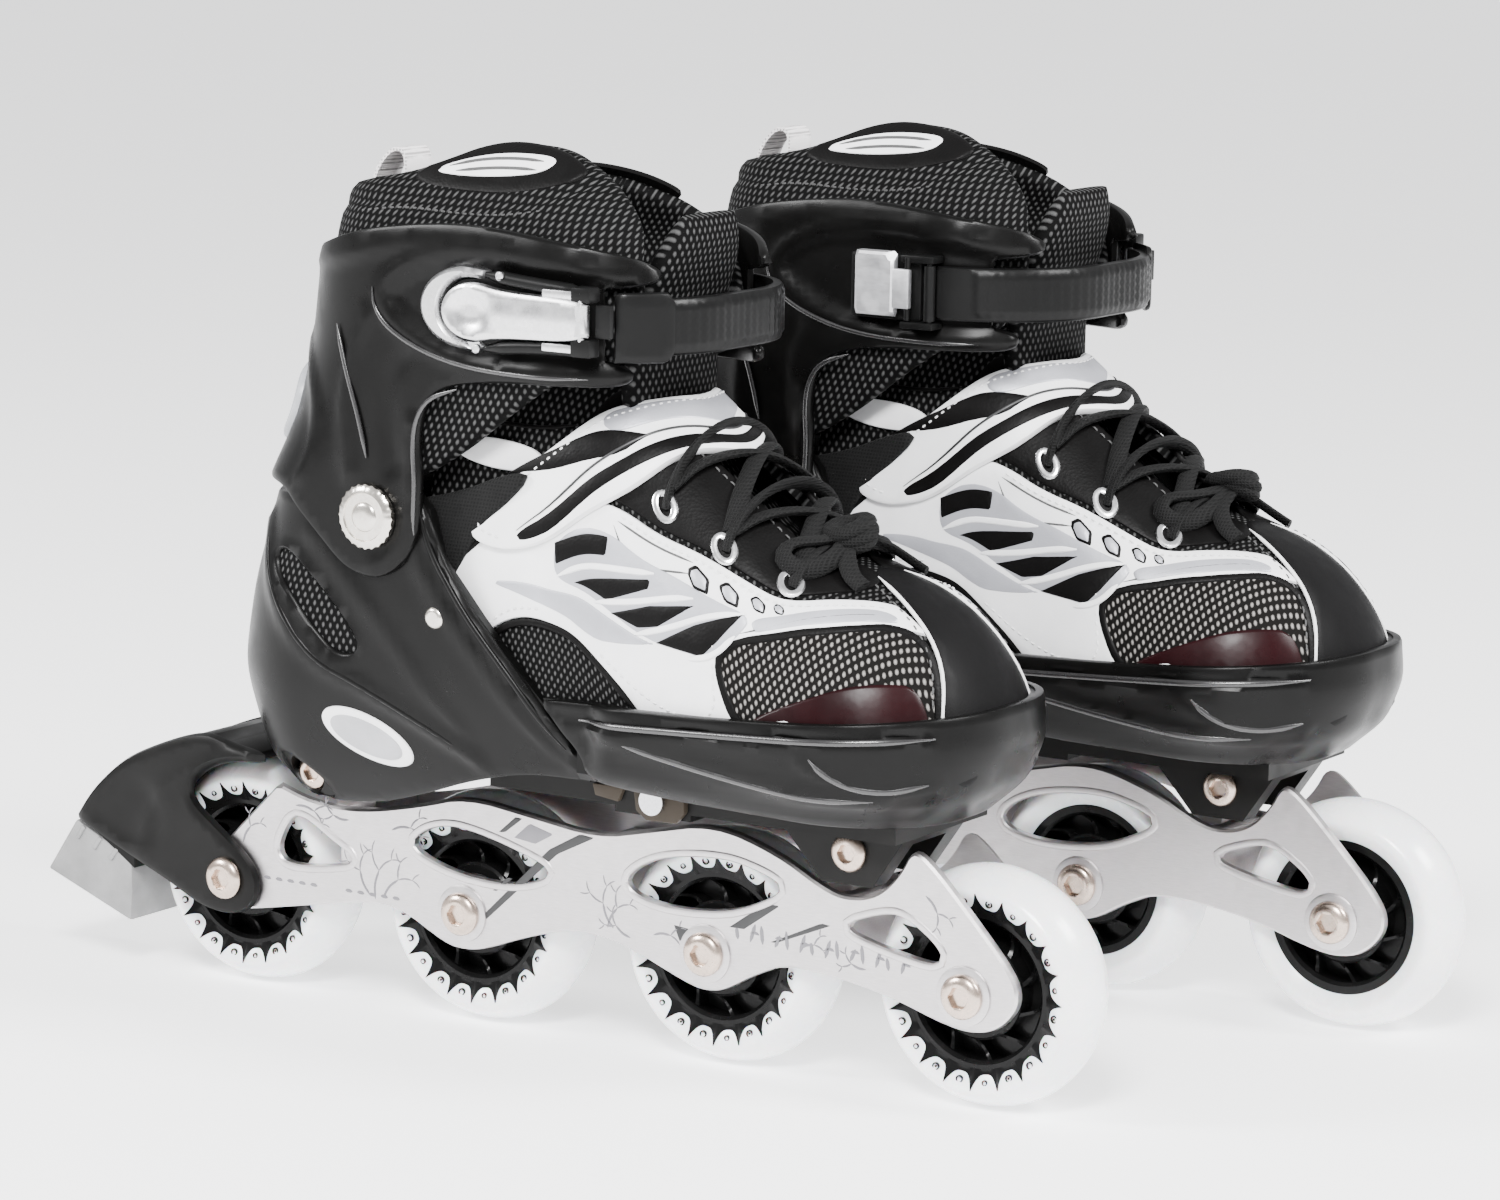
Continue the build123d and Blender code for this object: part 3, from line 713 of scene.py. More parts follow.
def open_mesh(name, ground, thread, pitch, depth=0.0003, rough=0.75, sharp=0.62):
    """Knitted mesh: threads that cross at 60 degrees and leave rows of dots."""
    made = Finish(name, ground, rough, Specular_IOR_Level=0.06)
    one = made.waves(pitch, made.place(uv=True, turn=32))
    two = made.waves(pitch, made.place(uv=True, turn=-32))
    fibre = made.noise(0.0005, 3.0)
    dots = made.maths("MULTIPLY", one, two)
    mixed = made.maths("ADD", dots, made.maths("MULTIPLY", made.maths("SUBTRACT", fibre, 0.5), 0.35))
    made.colours(mixed, (0.25, ground), (sharp, thread), (0.95, tuple(min(1.0, c * 1.5) for c in thread)))
    made.raised(dots, depth, 1.0)
    return made.raised(fibre, 0.00006, 0.6)


def woven(name, colour, thread=0.0007, rough=0.8, depth=0.0002):
    """A plain weave of fine threads."""
    made = Finish(name, colour, rough, Specular_IOR_Level=0.1, Sheen_Weight=0.015, Sheen_Roughness=0.5)
    warp = made.waves(thread, made.place(uv=True))
    weft = made.waves(thread, made.place(uv=True, turn=90))
    cloth = made.maths("MAXIMUM", warp, weft)
    made.colours(made.maths("ADD", made.maths("MULTIPLY", cloth, 0.6),
                            made.maths("MULTIPLY", made.noise(0.004, 4.0), 0.5)),
                 (0.35, tuple(c * 0.6 for c in colour)), (0.8, tuple(min(1.0, c * 1.3) for c in colour)))
    return made.raised(cloth, depth, 0.8)


def urethane():
    """The tyres: milky, cloudy plastic that light enters."""
    made = Finish("urethane", (0.93, 0.94, 0.96), 0.22, Subsurface_Weight=0.35,
                  Subsurface_Scale=0.004, Coat_Weight=0.25, Coat_Roughness=0.12)
    made.colours(made.noise(0.02, 4.0), (0.3, (0.86, 0.88, 0.91)), (0.7, (0.95, 0.955, 0.965)))
    made.gloss(made.noise(0.006, 4.0), 0.18, 0.34)
    return made.raised(made.noise(0.0012, 3.0), 0.00003, 0.5)


def rubber():
    """The brake pad: matt, slightly scuffed rubber."""
    made = Finish("brake_rubber", grey(0.2), 0.6)
    made.colours(made.noise(0.012, 5.0), (0.25, grey(0.15)), (0.75, grey(0.27)))
    made.gloss(made.noise(0.003, 4.0), 0.5, 0.72)
    return made.raised(made.noise(0.0006, 3.0), 0.00012, 0.7)


FINISHES = {
    "frame": metal("frame_alloy", (0.60, 0.575, 0.58), 0.36, (0.25, 1, 2.5)),
    "print_grey": coated("print_grey", (0.16, 0.155, 0.17), 0.45, 0.0004, 0.00001, 0.8),
    "print_black": coated("print_black", (0.012, 0.012, 0.013), 0.4, 0.0004, 0.00001, 0.8),
    "bolt": metal("bolt_bronze", (0.62, 0.50, 0.42), 0.24),
    "rivet": metal("rivet_steel", (0.72, 0.68, 0.62), 0.22),
    "steel": metal("bearing_steel", (0.62, 0.62, 0.64), 0.2),
    "chrome": metal("buckle_metal", (0.74, 0.74, 0.75), 0.28),
    "tab": metal("tab_metal", (0.68, 0.68, 0.70), 0.5, (0.3, 1, 1), 0.00003),
    "eyelet": metal("eyelet_metal", (0.85, 0.85, 0.86), 0.22),
    "shell": moulded("shell_plastic", 0.0022, 0.3),
    # The crease beads' finish: lighter than the shell plastic, a painted highlight along the raised folds,
    # and glossier with a stronger specular.
    "edge": coated("shell_edge_painted_highlight", (0.011, 0.0105, 0.011), 0.24, 0.0006, 0.00002, 0.8, Specular_IOR_Level=0.75),
    "sole": moulded("sole_plastic", 0.006, 0.4, 0.04),
    "lock": moulded("lock_plastic", 0.030, 0.4, 0.25),
    "strap": moulded("strap_plastic", 0.004, 0.33, 0.0),
    "brake": moulded("brake_arm_plastic", 0.004, 0.36),
    "core": moulded("wheel_core_plastic", 0.004, 0.2, 0.0, 0.0008),
    "silver": coated("silver_plastic", (0.36, 0.37, 0.39), 0.35, 0.0005, 0.00002, 0.85),
    "badge": coated("badge_face", (0.40, 0.40, 0.42), 0.4, 0.0012, 0.00005, 0.75),
    "rubber": rubber(),
    "tyre": urethane(),
    "white": coated("white_synthetic", (0.88, 0.88, 0.89), 0.42),
    "grey": coated("silver_synthetic", (0.40, 0.405, 0.44), 0.38, 0.0008, 0.00006, 0.85, Metallic=0.25),
    "black": coated("black_synthetic", (0.003, 0.0028, 0.0028), 0.42, 0.0009, 0.00009, 0.7,
                    Specular_IOR_Level=0.08),
    "toecap": coated("toe_cap_rubber", (0.004, 0.0038, 0.004), 0.45, 0.0005, 0.00004, 0.7,
                     Specular_IOR_Level=0.08),
    "maroon": coated("maroon_gloss", (0.012, 0.0018, 0.0026), 0.3, 0.002, 0.00002, 0.6,
                     Specular_IOR_Level=0.12),
    "thread": coated("thread_white", (0.8, 0.8, 0.8), 0.7, 0.0004, 0.00005),
    "thread_dark": coated("thread_dark", (0.05, 0.05, 0.05), 0.7, 0.0004, 0.00005),
    "mesh": open_mesh("liner_mesh", grey(0.0015), grey(0.04), 0.0022),
    "side_mesh": open_mesh("side_mesh", grey(0.002), grey(0.04), 0.0019),
    "toe_mesh": open_mesh("toe_mesh", grey(0.004, 0.08), grey(0.15, 0.05), 0.0020, 0.0004),
    "fleece": woven("lining_fabric", (0.006, 0.006, 0.006), 0.0011),
    "webbing": woven("webbing_black", (0.005, 0.005, 0.005), 0.0012, 0.8, 0.0004),
    "loop": woven("webbing_light", (0.62, 0.6, 0.6), 0.0011, 0.75, 0.0003),
    "lace": woven("lace_black", (0.005, 0.005, 0.005), 0.0009, 0.7, 0.0003),
    "insole": woven("insole_fabric", (0.05, 0.05, 0.055), 0.0009),
}
FINISH = {name: made.material for name, made in FINISHES.items()}


# --- floor, light and camera ---
FLOOR_REACH = 14.0          # metres to each side, past the picture's edges in every view
LAMPS = {                   # place and size in metres, and power in watts
    "key": ((0.55, -1.25, 1.25), 0.45, 62.0),
    "fill": ((-1.2, -1.1, 1.1), 0.5, 40.0),
    "rim": ((1.3, 0.2, 1.2), 0.5, 46.0),
}
CAMERA_PLACE = (0.81871, -1.31276, 0.38675)
CAMERA_RIGHT = Vector((0.846057, 0.532847, 0.016185))
CAMERA_UP = Vector((-0.103280, 0.134053, 0.985577))
LENS = 123.7                # millimetres, on a sensor 36 mm wide


def add_floor():
    reach = FLOOR_REACH
    mesh = bpy.data.meshes.new("floor")
    mesh.from_pydata([(-reach, -reach, 0), (reach, -reach, 0), (reach, reach, 0), (-reach, reach, 0)],
                     [], [(0, 1, 2, 3)])
    floor = bpy.data.objects.new("floor", mesh)
    bpy.context.scene.collection.objects.link(floor)
    pale = Finish("pale_floor", (0.93, 0.93, 0.935), 0.75)
    pale.shader.inputs["Emission Color"].default_value = (1, 1, 1, 1)
    pale.shader.inputs["Emission Strength"].default_value = 1.0
    pale.colours(pale.noise(0.4, 2.0), (0.3, (0.925, 0.925, 0.93)), (0.7, (0.94, 0.94, 0.945)))
    mesh.materials.append(pale.material)


def add_lights():
    world = bpy.data.worlds.new("studio")
    world.use_nodes = True
    world.node_tree.nodes["Background"].inputs["Color"].default_value = (0.98, 0.985, 1.0, 1)
    world.node_tree.nodes["Background"].inputs["Strength"].default_value = 0.85
    bpy.context.scene.world = world
    for name, (place, size, power) in LAMPS.items():
        light = bpy.data.lights.new(name, "AREA")
        light.energy, light.size = power, size
        lamp = bpy.data.objects.new(name, light)
        lamp.location = place
        lamp.rotation_mode = "QUATERNION"
        lamp.rotation_quaternion = (Vector((0, 0, 0.12)) - Vector(place)).to_track_quat("-Z", "Y")
        bpy.context.scene.collection.objects.link(lamp)


def add_camera():
    camera = bpy.data.objects.new("camera", bpy.data.cameras.new("camera"))
    turn = Matrix((CAMERA_RIGHT, CAMERA_UP, CAMERA_RIGHT.cross(CAMERA_UP))).transposed().to_4x4()
    camera.matrix_world = Matrix.Translation(CAMERA_PLACE) @ turn
    camera.data.sensor_width = 36.0
    camera.data.lens = LENS
    bpy.context.scene.collection.objects.link(camera)
    bpy.context.scene.camera = camera


add_floor()
add_lights()
add_camera()


# --- wheels ---
SIDE_FLARE = 0.52       # how far the tyre's side slopes out for each millimetre of radius
SIDE_FOOT = (23.2, 9.55)    # radius and half width where the tyre's side starts
TEETH = 20
RIBS = 10


def on_flare(radius):
    """Half width of the wheel's side at a radius."""
    return SIDE_FOOT[1] + max(radius - SIDE_FOOT[0], 0) * SIDE_FLARE


def tyre(side, number, centre):
    """The urethane tyre, from its bore to its crown."""
    half = 12.0
    profile = [(23.2, 9.4), (24.5, 10.2), (27.6, half - 0.2), (29.2, half - 0.3), (31.0, 10.2), (32.9, 7.4),
               (34.3, 4.2), (34.9, 1.5)]
    loop = [(r, -y) for r, y in profile] + [(r, y) for r, y in reversed(profile)]
    loop += [(22.6, 6.0), (22.0, 0.0), (22.6, -6.0)]
    shape = Shape().revolve(rounded(loop, 1), centre, count=96)
    shape_piece(f"wheel_{number}_tyre_skin", side, f"wheel_{number}", shape, "tyre",
                60, [f"wheel_{number}_tyre"])


def hub(side, number, centre):
    """The moulded core: rim, ribs, web and bearing sleeve."""
    shape = Shape()
    shape.revolve([(20.2, -8.6), (21.2, -9.7), (23.6, -9.7), (23.6, 9.7), (21.2, 9.7), (20.2, 8.6)],
                  centre, count=72)
    shape.revolve([(11.1, -9.8), (13.4, -9.8), (14.2, -9.0), (14.2, 9.0), (13.4, 9.8), (11.1, 9.8)],
                  centre, count=48)
    shape.revolve([(13.5, -2.4), (21.0, -2.4), (21.0, 2.4), (13.5, 2.4)], centre, count=48)
    for face in (-1, 1):
        for k in range(RIBS):
            turn = 2 * math.pi * k / RIBS + 0.2
            rings = []
            for share in np.linspace(0, 1, 6):
                radius = 13.4 + 7.6 * share
                sweep = turn + 0.35 * share
                half = 0.85 + 0.35 * abs(2 * share - 1)
                rise = 8.8 - 2.6 * math.sin(math.pi * share)
                c, s = math.cos(sweep), math.sin(sweep)
                ring = [(radius * c - off * s, face * y, radius * s + off * c)
                        for off, y in ((-half, 1.5), (half, 1.5), (half * 0.6, rise), (-half * 0.6, rise))]
                rings.append(np.array(ring) + centre)
            shape.rings(rings)
    shape_piece(f"wheel_{number}_core", side, f"wheel_{number}", shape, "core",
                35, [f"wheel_{number}_hub"])


def wheel_print(side, number, centre):
    """The toothed edge of the core that shows through the tyre's outer face, and its ring marks."""
    per_tooth = 14
    shape = Shape()
    rings = []
    for k in range(TEETH * per_tooth):
        turn = 2 * math.pi * k / (TEETH * per_tooth)
        phase = (k / per_tooth) % 1.0 - 0.5
        reach = 23.9 + 4.6 * abs(2 * phase) ** 3.2
        radii = [22.4, 22.4, 0.5 * (22.4 + reach), reach, reach]
        lifts = [-0.4, 0.22, 0.22, 0.12, -0.4]
        ring = []
        for radius, lift in zip(radii, lifts):
            ring.append((radius * math.cos(turn), -(on_flare(radius) + lift), radius * math.sin(turn)))
        rings.append(np.array(ring) + centre)
    shape.rings(rings, closed=True)
    radius = 26.1
    for k in range(TEETH):
        turn = 2 * math.pi * (k + 0.5) / TEETH
        middle = np.array([radius * math.cos(turn), -on_flare(radius), radius * math.sin(turn)]) + centre
        size = 1.0 if k % 3 else 0.75
        shape.revolve([(0.75 * size, -0.35), (1.15 * size, -0.35), (1.15 * size, 0.3), (0.75 * size, 0.3)],
                      middle, count=14)
        if k % 3 == 1:
            shape.rod(0.32, -0.35, 0.3, middle, count=8)
    shape_piece(f"wheel_{number}_teeth", side, f"wheel_{number}", shape, "core", 30)


def wheels(side):
    """The four wheels of a skate."""
    for number, x in enumerate(AXLES, start=1):
        centre = np.array([x, 0.0, WHEEL_R])
        tyre(side, number, centre)
        hub(side, number, centre)
        wheel_print(side, number, centre)


# --- bolts ---
def bolt_head(shape, centre, y, radius, outward, height=2.6, socket=True):
    """A domed button head with a hexagonal socket, standing on a face at y."""
    rows = [(radius * 0.96, 0.0), (radius, 0.5), (radius * 0.99, 1.1), (radius * 0.86, height * 0.8),
            (radius * 0.62, height), (radius * 0.50, height)]
    turn = turns_of(36)
    if socket:
        hexagon = 1.1 * radius * math.cos(math.pi / 6) / np.cos(turn % (math.pi / 3) - math.pi / 6)
        rows += [(0.47 * hexagon, height - 0.15), (0.44 * hexagon, height * 0.35)]
    rings = [np.column_stack([centre[0] + r * np.cos(turn), np.full(len(turn), y + outward * rise),
                              centre[1] + r * np.sin(turn)]) for r, rise in rows]
    shape.rings(rings)


def bolts(side):
    """The axle bolts with their spacers, and the bolts that hold the frame."""
    brake = side == "right"
    shape = Shape()
    for number, x in enumerate(AXLES):
        seat = 21.1 if brake and number == 0 else 17.9
        for outward in (-1, 1):
            bolt_head(shape, (x, WHEEL_R), outward * seat, 6.5, outward)
        shape.rod(3.9, -seat, seat, (x, 0, WHEEL_R), count=24)
        shape.revolve([(4.1, -13), (5.9, -13), (5.9, 13), (4.1, 13)], (x, 0, WHEEL_R), count=24)
    shape_piece("axle_bolts", side, "skate", shape, "bolt", 35, ["axles"])
    shape = Shape()
    for centre, seat in (((37.0, 73.4), 24.2), ((220.0, 71.2), 17.1)):
        for outward in (-1, 1):
            bolt_head(shape, centre, outward * seat, 5.6, outward)
        shape.rod(2.9, -seat, seat, (centre[0], 0, centre[1]), count=20)
    shape_piece("mount_bolts", side, "skate", shape, "bolt", 35, ["frame_bolts"])


# --- frame ---
PLATE_INNER = 14.5      # from the middle plane to a plate's inner face
PLATE_THICK = 2.5
PLATE_OUTER = PLATE_INNER + PLATE_THICK
FRAME_OUTLINE = [
    (-5, 44), (6, 55), (17, 66), (17, 66), (30, 62), (48, 61.5), (70, 66), (87, 71), (111, 68), (134, 65),
    (152, 69), (174, 74), (196, 68), (212, 59.5), (220, 58), (229, 60), (236, 67), (240, 75), (246, 72),
    (258, 60), (274, 43), (276, 35), (271, 28), (264, 24.5), (254, 24.5), (230, 32), (200, 35.5),
    (189, 31), (178, 24.5), (172, 23.6), (166, 24.5), (143, 33.5), (126, 35.5), (110, 31), (93, 24.5),
    (86, 23.6), (79, 24.5), (62, 33.5), (48, 33), (12, 26), (3, 24.6), (-6, 26.6), (-10.2, 33),
    (-9.4, 39),
]
FRAME_WINDOWS = [
    [(17, 45), (19, 51), (23, 57), (29, 56), (38, 50.5), (48, 45.8), (38, 43.2), (21, 41.3)],
    [(66, 53), (72, 58.6), (81, 61), (91, 60), (104, 57), (119.5, 52), (111, 47.5), (98, 45.8), (80, 47.6)],
    [(143, 52), (149, 58), (160, 62), (178, 63.8), (190, 61.5), (199, 58), (191, 53), (180, 48.6),
     (164, 47), (151, 48)],
    [(217, 49.5), (230, 54.5), (238, 55.5), (251, 46.5), (249.5, 43), (244, 43), (228, 46)],
]


def frame_plates(side):
    """The two side plates, with beads round the windows and bosses round the axles."""
    for face, label in FACES:
        shape = Shape().add(*panel_mesh(FRAME_OUTLINE, FlatSurface(face * PLATE_INNER), thick=PLATE_THICK,
                                        sink=0.0, step=5.0, holes=FRAME_WINDOWS))
        for window in FRAME_WINDOWS:
            rim = inset_points(ordered(resampled(rounded(window), 2.0)), -1.3)
            cord_mesh(shape, rim, FlatSurface(face * PLATE_OUTER), 1.1, 0.5, closed=True, step=1.6, passes=0)
        for x in AXLES:
            if side == "right" and x == 0:
                continue
            shape.revolve([(4.3, face * 16.5), (8.8, face * 16.5), (8.6, face * 17.6), (8.0, face * 17.85),
                           (4.3, face * 17.85)], (x, 0, WHEEL_R), count=40)
        shape_piece(f"frame_{label}_plate", side, "skate", shape, "frame", 30,
                    ["frame"] if face == -1 else [])


def frame_inside(side):
    """The cross webs and the two mounting blocks between the plates."""
    shape = Shape()
    for x, low, high in ((43, 40, 61), (129, 41, 61), (215, 40, 57)):
        shape.add(*bevelled_box((x - 4, -14.8, low), (x + 4, 14.8, high), 1.5))
    shape.add(*bevelled_box((33, -9, 54), (48, 9, 80), 1.0))
    rings = []
    for y in (-9, 9):
        rings.append([(211, y, 58), (216, y, 71.2 - 13), (222, y, 73.5), (229, y, 74.5), (229, y, 78),
                      (211, y, 78)])
    shape.rings(rings)
    shape_piece("frame_webs", side, "skate", shape, "frame", 30)


def stroke(shape, points, width, surface, step=2.0):
    """A printed line on a flat plate."""
    cord_mesh(shape, points, surface, width / 2, 0.11, 0.05, step=step, sides=6)


def branch(shape, surface, start, turn, length, width, depth):
    """A printed twig that forks, with small thorns beside it."""
    heading = math.radians(turn)
    end = (start[0] + length * math.cos(heading), start[1] + length * math.sin(heading))
    bow = (0.5 * (start[0] + end[0]) - 0.12 * length * math.sin(heading),
           0.5 * (start[1] + end[1]) + 0.12 * length * math.cos(heading))
    stroke(shape, [start, bow, end], width, surface, step=1.2)
    if depth:
        for lean in (-42, 34):
            branch(shape, surface, end, turn + lean, length * 0.66, width * 0.75, depth - 1)


def stripe(points):
    """An outline whose corners stay sharper, because each point is given twice."""
    return [p for point in points for p in (point, point)]


TWIGS = [       # where each twig starts, its heading in degrees and its length
    ((54, 35), 82, 9), ((52, 36), 118, 8), ((57, 36), 48, 8), ((24, 60), -8, 7), ((44, 58), 172, 6),
    ((60, 57), 12, 7), ((140, 38), 118, 8), ((138, 38), 62, 7), ((146, 36), 150, 6), ((4, 46), 62, 6),
    ((245, 62), -50, 6), ((226, 38), 168, 5), ((204, 41), 20, 5), ((154, 38), 6, 6),
]


def frame_print(side):
    """Generic printed graphics on the outer plate: twigs, slanted stripes and a row of ticks."""
    surface = FlatSurface(-PLATE_OUTER)
    shape = Shape()
    for start, turn, length in TWIGS:
        branch(shape, surface, start, turn, length, 0.75, 2)
    for k in range(14):
        x = 183 + 4.2 * k
        base = 39.4 + 0.2 * abs(k - 7) - (0.55 * max(k - 9, 0))
        lean = 1.6 if k % 2 else -0.6
        tall = 5.4 if k % 3 else 3.6
        stroke(shape, [(x, base), (x + 0.5 * lean, base + 0.5 * tall), (x + lean, base + tall)], 1.2, surface)
        if k % 2:
            stroke(shape, [(x, base + 2.6), (x + 1.6, base + 3.0), (x + 3.0, base + 2.4)], 0.9, surface)
    for k in range(12):
        x = 12 + 4.4 * k
        if k not in (5, 6):
            stroke(shape, [(x, 36.2), (x + 1.4, 36.3), (x + 2.6, 36.0)], 1.1, surface)
    shape_piece("frame_twigs", side, "skate", shape, "print_grey", 60)
    stripes = [
        [(99, 61.5), (101, 61.5), (107.5, 66.5), (105, 66.8)],
        [(92.5, 34.5), (94.5, 34.2), (120, 57.5), (133, 64.0), (128, 64.6), (117, 58.5)],
        [(97, 43.5), (98.6, 43.5), (104, 48), (102, 48)],
        [(180, 44.0), (185, 44.0), (197, 52.5), (192, 52.5)],
        [(194, 41.5), (196, 41.5), (214, 49), (211, 49.4)],
        [(163, 37.5), (166, 38.5), (166, 41.5), (161, 42)],
        [(104.5, 60.5), (112, 59.5), (118.5, 63.2), (110, 65.4)],
    ]
    for number, outline in enumerate(stripes, start=1):
        finish = "print_grey" if number == len(stripes) else "print_black"
        panel(f"frame_stripe_{number}", side, "skate", stripe(outline), surface, finish, "frame_metal",
              thick=0.12, lift=0.02, sink=0.3, edge=0.3, step=4.0, passes=1)


for side in SIDES:
    wheels(side)
    bolts(side)
    frame_plates(side)
    frame_inside(side)
    frame_print(side)


# --- outlines on the rings, from side view ---
RING_FLIP = np.array([-1.0, 1.0])       # takes (u, v) on a ring to its other side
ARCH_FLIP = np.array([1.0, -1.0])       # takes (u, v) on the forefoot's arch to its other side


def on_ring(surface, points):
    """Side-view (x, z) points as (distance round the ring, z) points on the outer side."""
    points = np.asarray(points, float)
    return np.column_stack([surface.u_at(points[:, 0], points[:, 1]), points[:, 1]])


def ring_outline(surface, first, points, last):
    """A whole outline on a ring from its outer half in side view, between two heights at u = 0."""
    return mirrored([(0.0, first), *on_ring(surface, points), (0.0, last)], RING_FLIP)


def mirrored(half, flip):
    """A whole outline from its outer half, which starts and ends on the middle line."""
    half = np.asarray(half, float)
    return np.vstack([half, (half[1:-1] * flip)[::-1]])


def across(points):
    """The mirror image of (x, girth) points, on the inner side of the arch."""
    return np.asarray(points, float) * ARCH_FLIP


# --- reliefs, creases, tubes and stitches ---
def bead_relief(path, height, width, closed=False):
    """Relief for a panel: a soft ridge, or a groove, along a path."""
    line = resampled(rounded(path, 2, closed), 2.0, closed)

    def relief(u, v):
        gap = np.full(len(u), 1e9)
        for start in range(0, len(u), 2000):
            p = np.column_stack([u, v])[start:start + 2000]
            gap[start:start + 2000] = np.sqrt(((p[:, None] - line[None]) ** 2).sum(axis=2)).min(axis=1)
        return height * np.exp(-(gap / width) ** 2)

    return relief


def step_relief(outline, depth, width):
    """Relief for a panel: everything inside an outline moves by a depth."""
    loop = resampled(rounded(outline, 2), 2.0)

    def relief(u, v):
        points = np.column_stack([u, v])
        away = distance_to(points, [loop])
        return np.where(inside(points, loop), depth * np.minimum(away / width, 1.0), 0.0)

    return relief


def together(*reliefs):
    """One relief that adds several up."""
    return lambda u, v: sum(relief(u, v) for relief in reliefs)


def paired_beads(surface, rows):
    """Reliefs along side-view (path, height, width) rows, on both sides of a ring."""
    reliefs = []
    for path, height, width in rows:
        line = on_ring(surface, path)
        reliefs += [bead_relief(line, height, width), bead_relief(line * RING_FLIP, height, width)]
    return reliefs


def creases(name, side, body, surface, finish, rows, half_width, half_height):
    """Raised folds of the moulding along side-view (path, lift) rows, on both sides of a ring."""
    shape = Shape()
    for path, lift in rows:
        line = on_ring(surface, path)
        for sign in (1, -1):
            cord_mesh(shape, line * [sign, 1], surface, half_width, half_height, lift)
    shape_piece(name, side, body, shape, finish, 60)


def bevelled_prism(outline, low, high, bevel, steps=2):
    """A prism along y with rounded edges, as (verts, faces)."""
    shape = bmesh.new()
    near = [shape.verts.new((x, low, z)) for x, z in outline]
    far = [shape.verts.new((x, high, z)) for x, z in outline]
    count = len(outline)
    shape.faces.new(near[::-1])
    shape.faces.new(far)
    for k in range(count):
        m = (k + 1) % count
        shape.faces.new((near[k], near[m], far[m], far[k]))
    bmesh.ops.recalc_face_normals(shape, faces=shape.faces)
    return bevelled(shape, bevel, steps)


def tube(shape, path, radius, flat, closed=False, taper=False):
    """A flattened tube along a path of (x, y, z) points."""
    line = resampled(rounded(path, 2, closed), 2.0, closed)
    run = directions(line, closed)
    guide = np.array([0.0, 0.0, 1.0])
    guides = []
    for forward in run:
        guide = guide - forward * np.dot(guide, forward)
        guide /= max(np.linalg.norm(guide), 1e-9)
        guides.append(guide)
    guides = np.array(guides)
    sizes = narrowed(len(line), 0.35, 3) if taper else np.ones(len(line))
    return swept(shape, line, np.cross(run, guides) * radius, guides * radius * flat, sizes, 10, closed)


STITCH_PITCH = 2.6
STITCH_LENGTH = 1.7
STITCH_WIDTH = 0.32


def stitches(shape, path, surface, lift):
    """A row of sewn stitches over a surface."""
    line = resampled(rounded(path, 2, False), STITCH_PITCH, False)
    for a, b in zip(line, line[1:]):
        run = b - a
        end = a + run * (STITCH_LENGTH / np.linalg.norm(run))
        uv = np.array([a, end])
        base = surface.points(uv[:, 0], uv[:, 1])
        probe = uv[0] if abs(base[0, 1]) > 1e-3 else uv[1]
        normal = normals(surface, uv[:, 0], uv[:, 1], hand_of(surface, *probe))
        forward = base[1] - base[0]
        forward /= max(np.linalg.norm(forward), 1e-9)
        rings = []
        for share, rise, size in ((0.0, -0.15, 0.5), (0.25, 0.22, 1.0), (0.75, 0.22, 1.0), (1.0, -0.15, 0.5)):
            centre = base[0] + (base[1] - base[0]) * share + normal[0] * (lift + rise)
            wide = np.cross(normal[0], forward) * STITCH_WIDTH * size
            tall = normal[0] * STITCH_WIDTH * 0.8 * size
            rings.append([centre + wide, centre + tall, centre - wide, centre - tall])
        shape.rings(rings)


# --- heel shell ---
HEEL_PROFILE = [
    (23, 78), (30, 74), (35, 67.5), (47, 66), (65, 68), (83, 73.5), (101, 80), (122, 85), (141, 85.4),
    (143, 86), (141, 97), (130, 108), (118, 121), (106, 135), (97, 146), (93, 158), (84, 168),
    (73, 171.4), (62, 168.6), (50, 161), (30, 158.8),
]
HEEL_BOLT = (37.0, 73.4)
HEEL_VENT = [
    (34.5, 142), (37, 136), (43, 130.5), (54, 117.5), (60, 114.5), (65.5, 115.5), (66, 119), (60, 127.5),
    (47, 139.5), (40, 143.5),
]


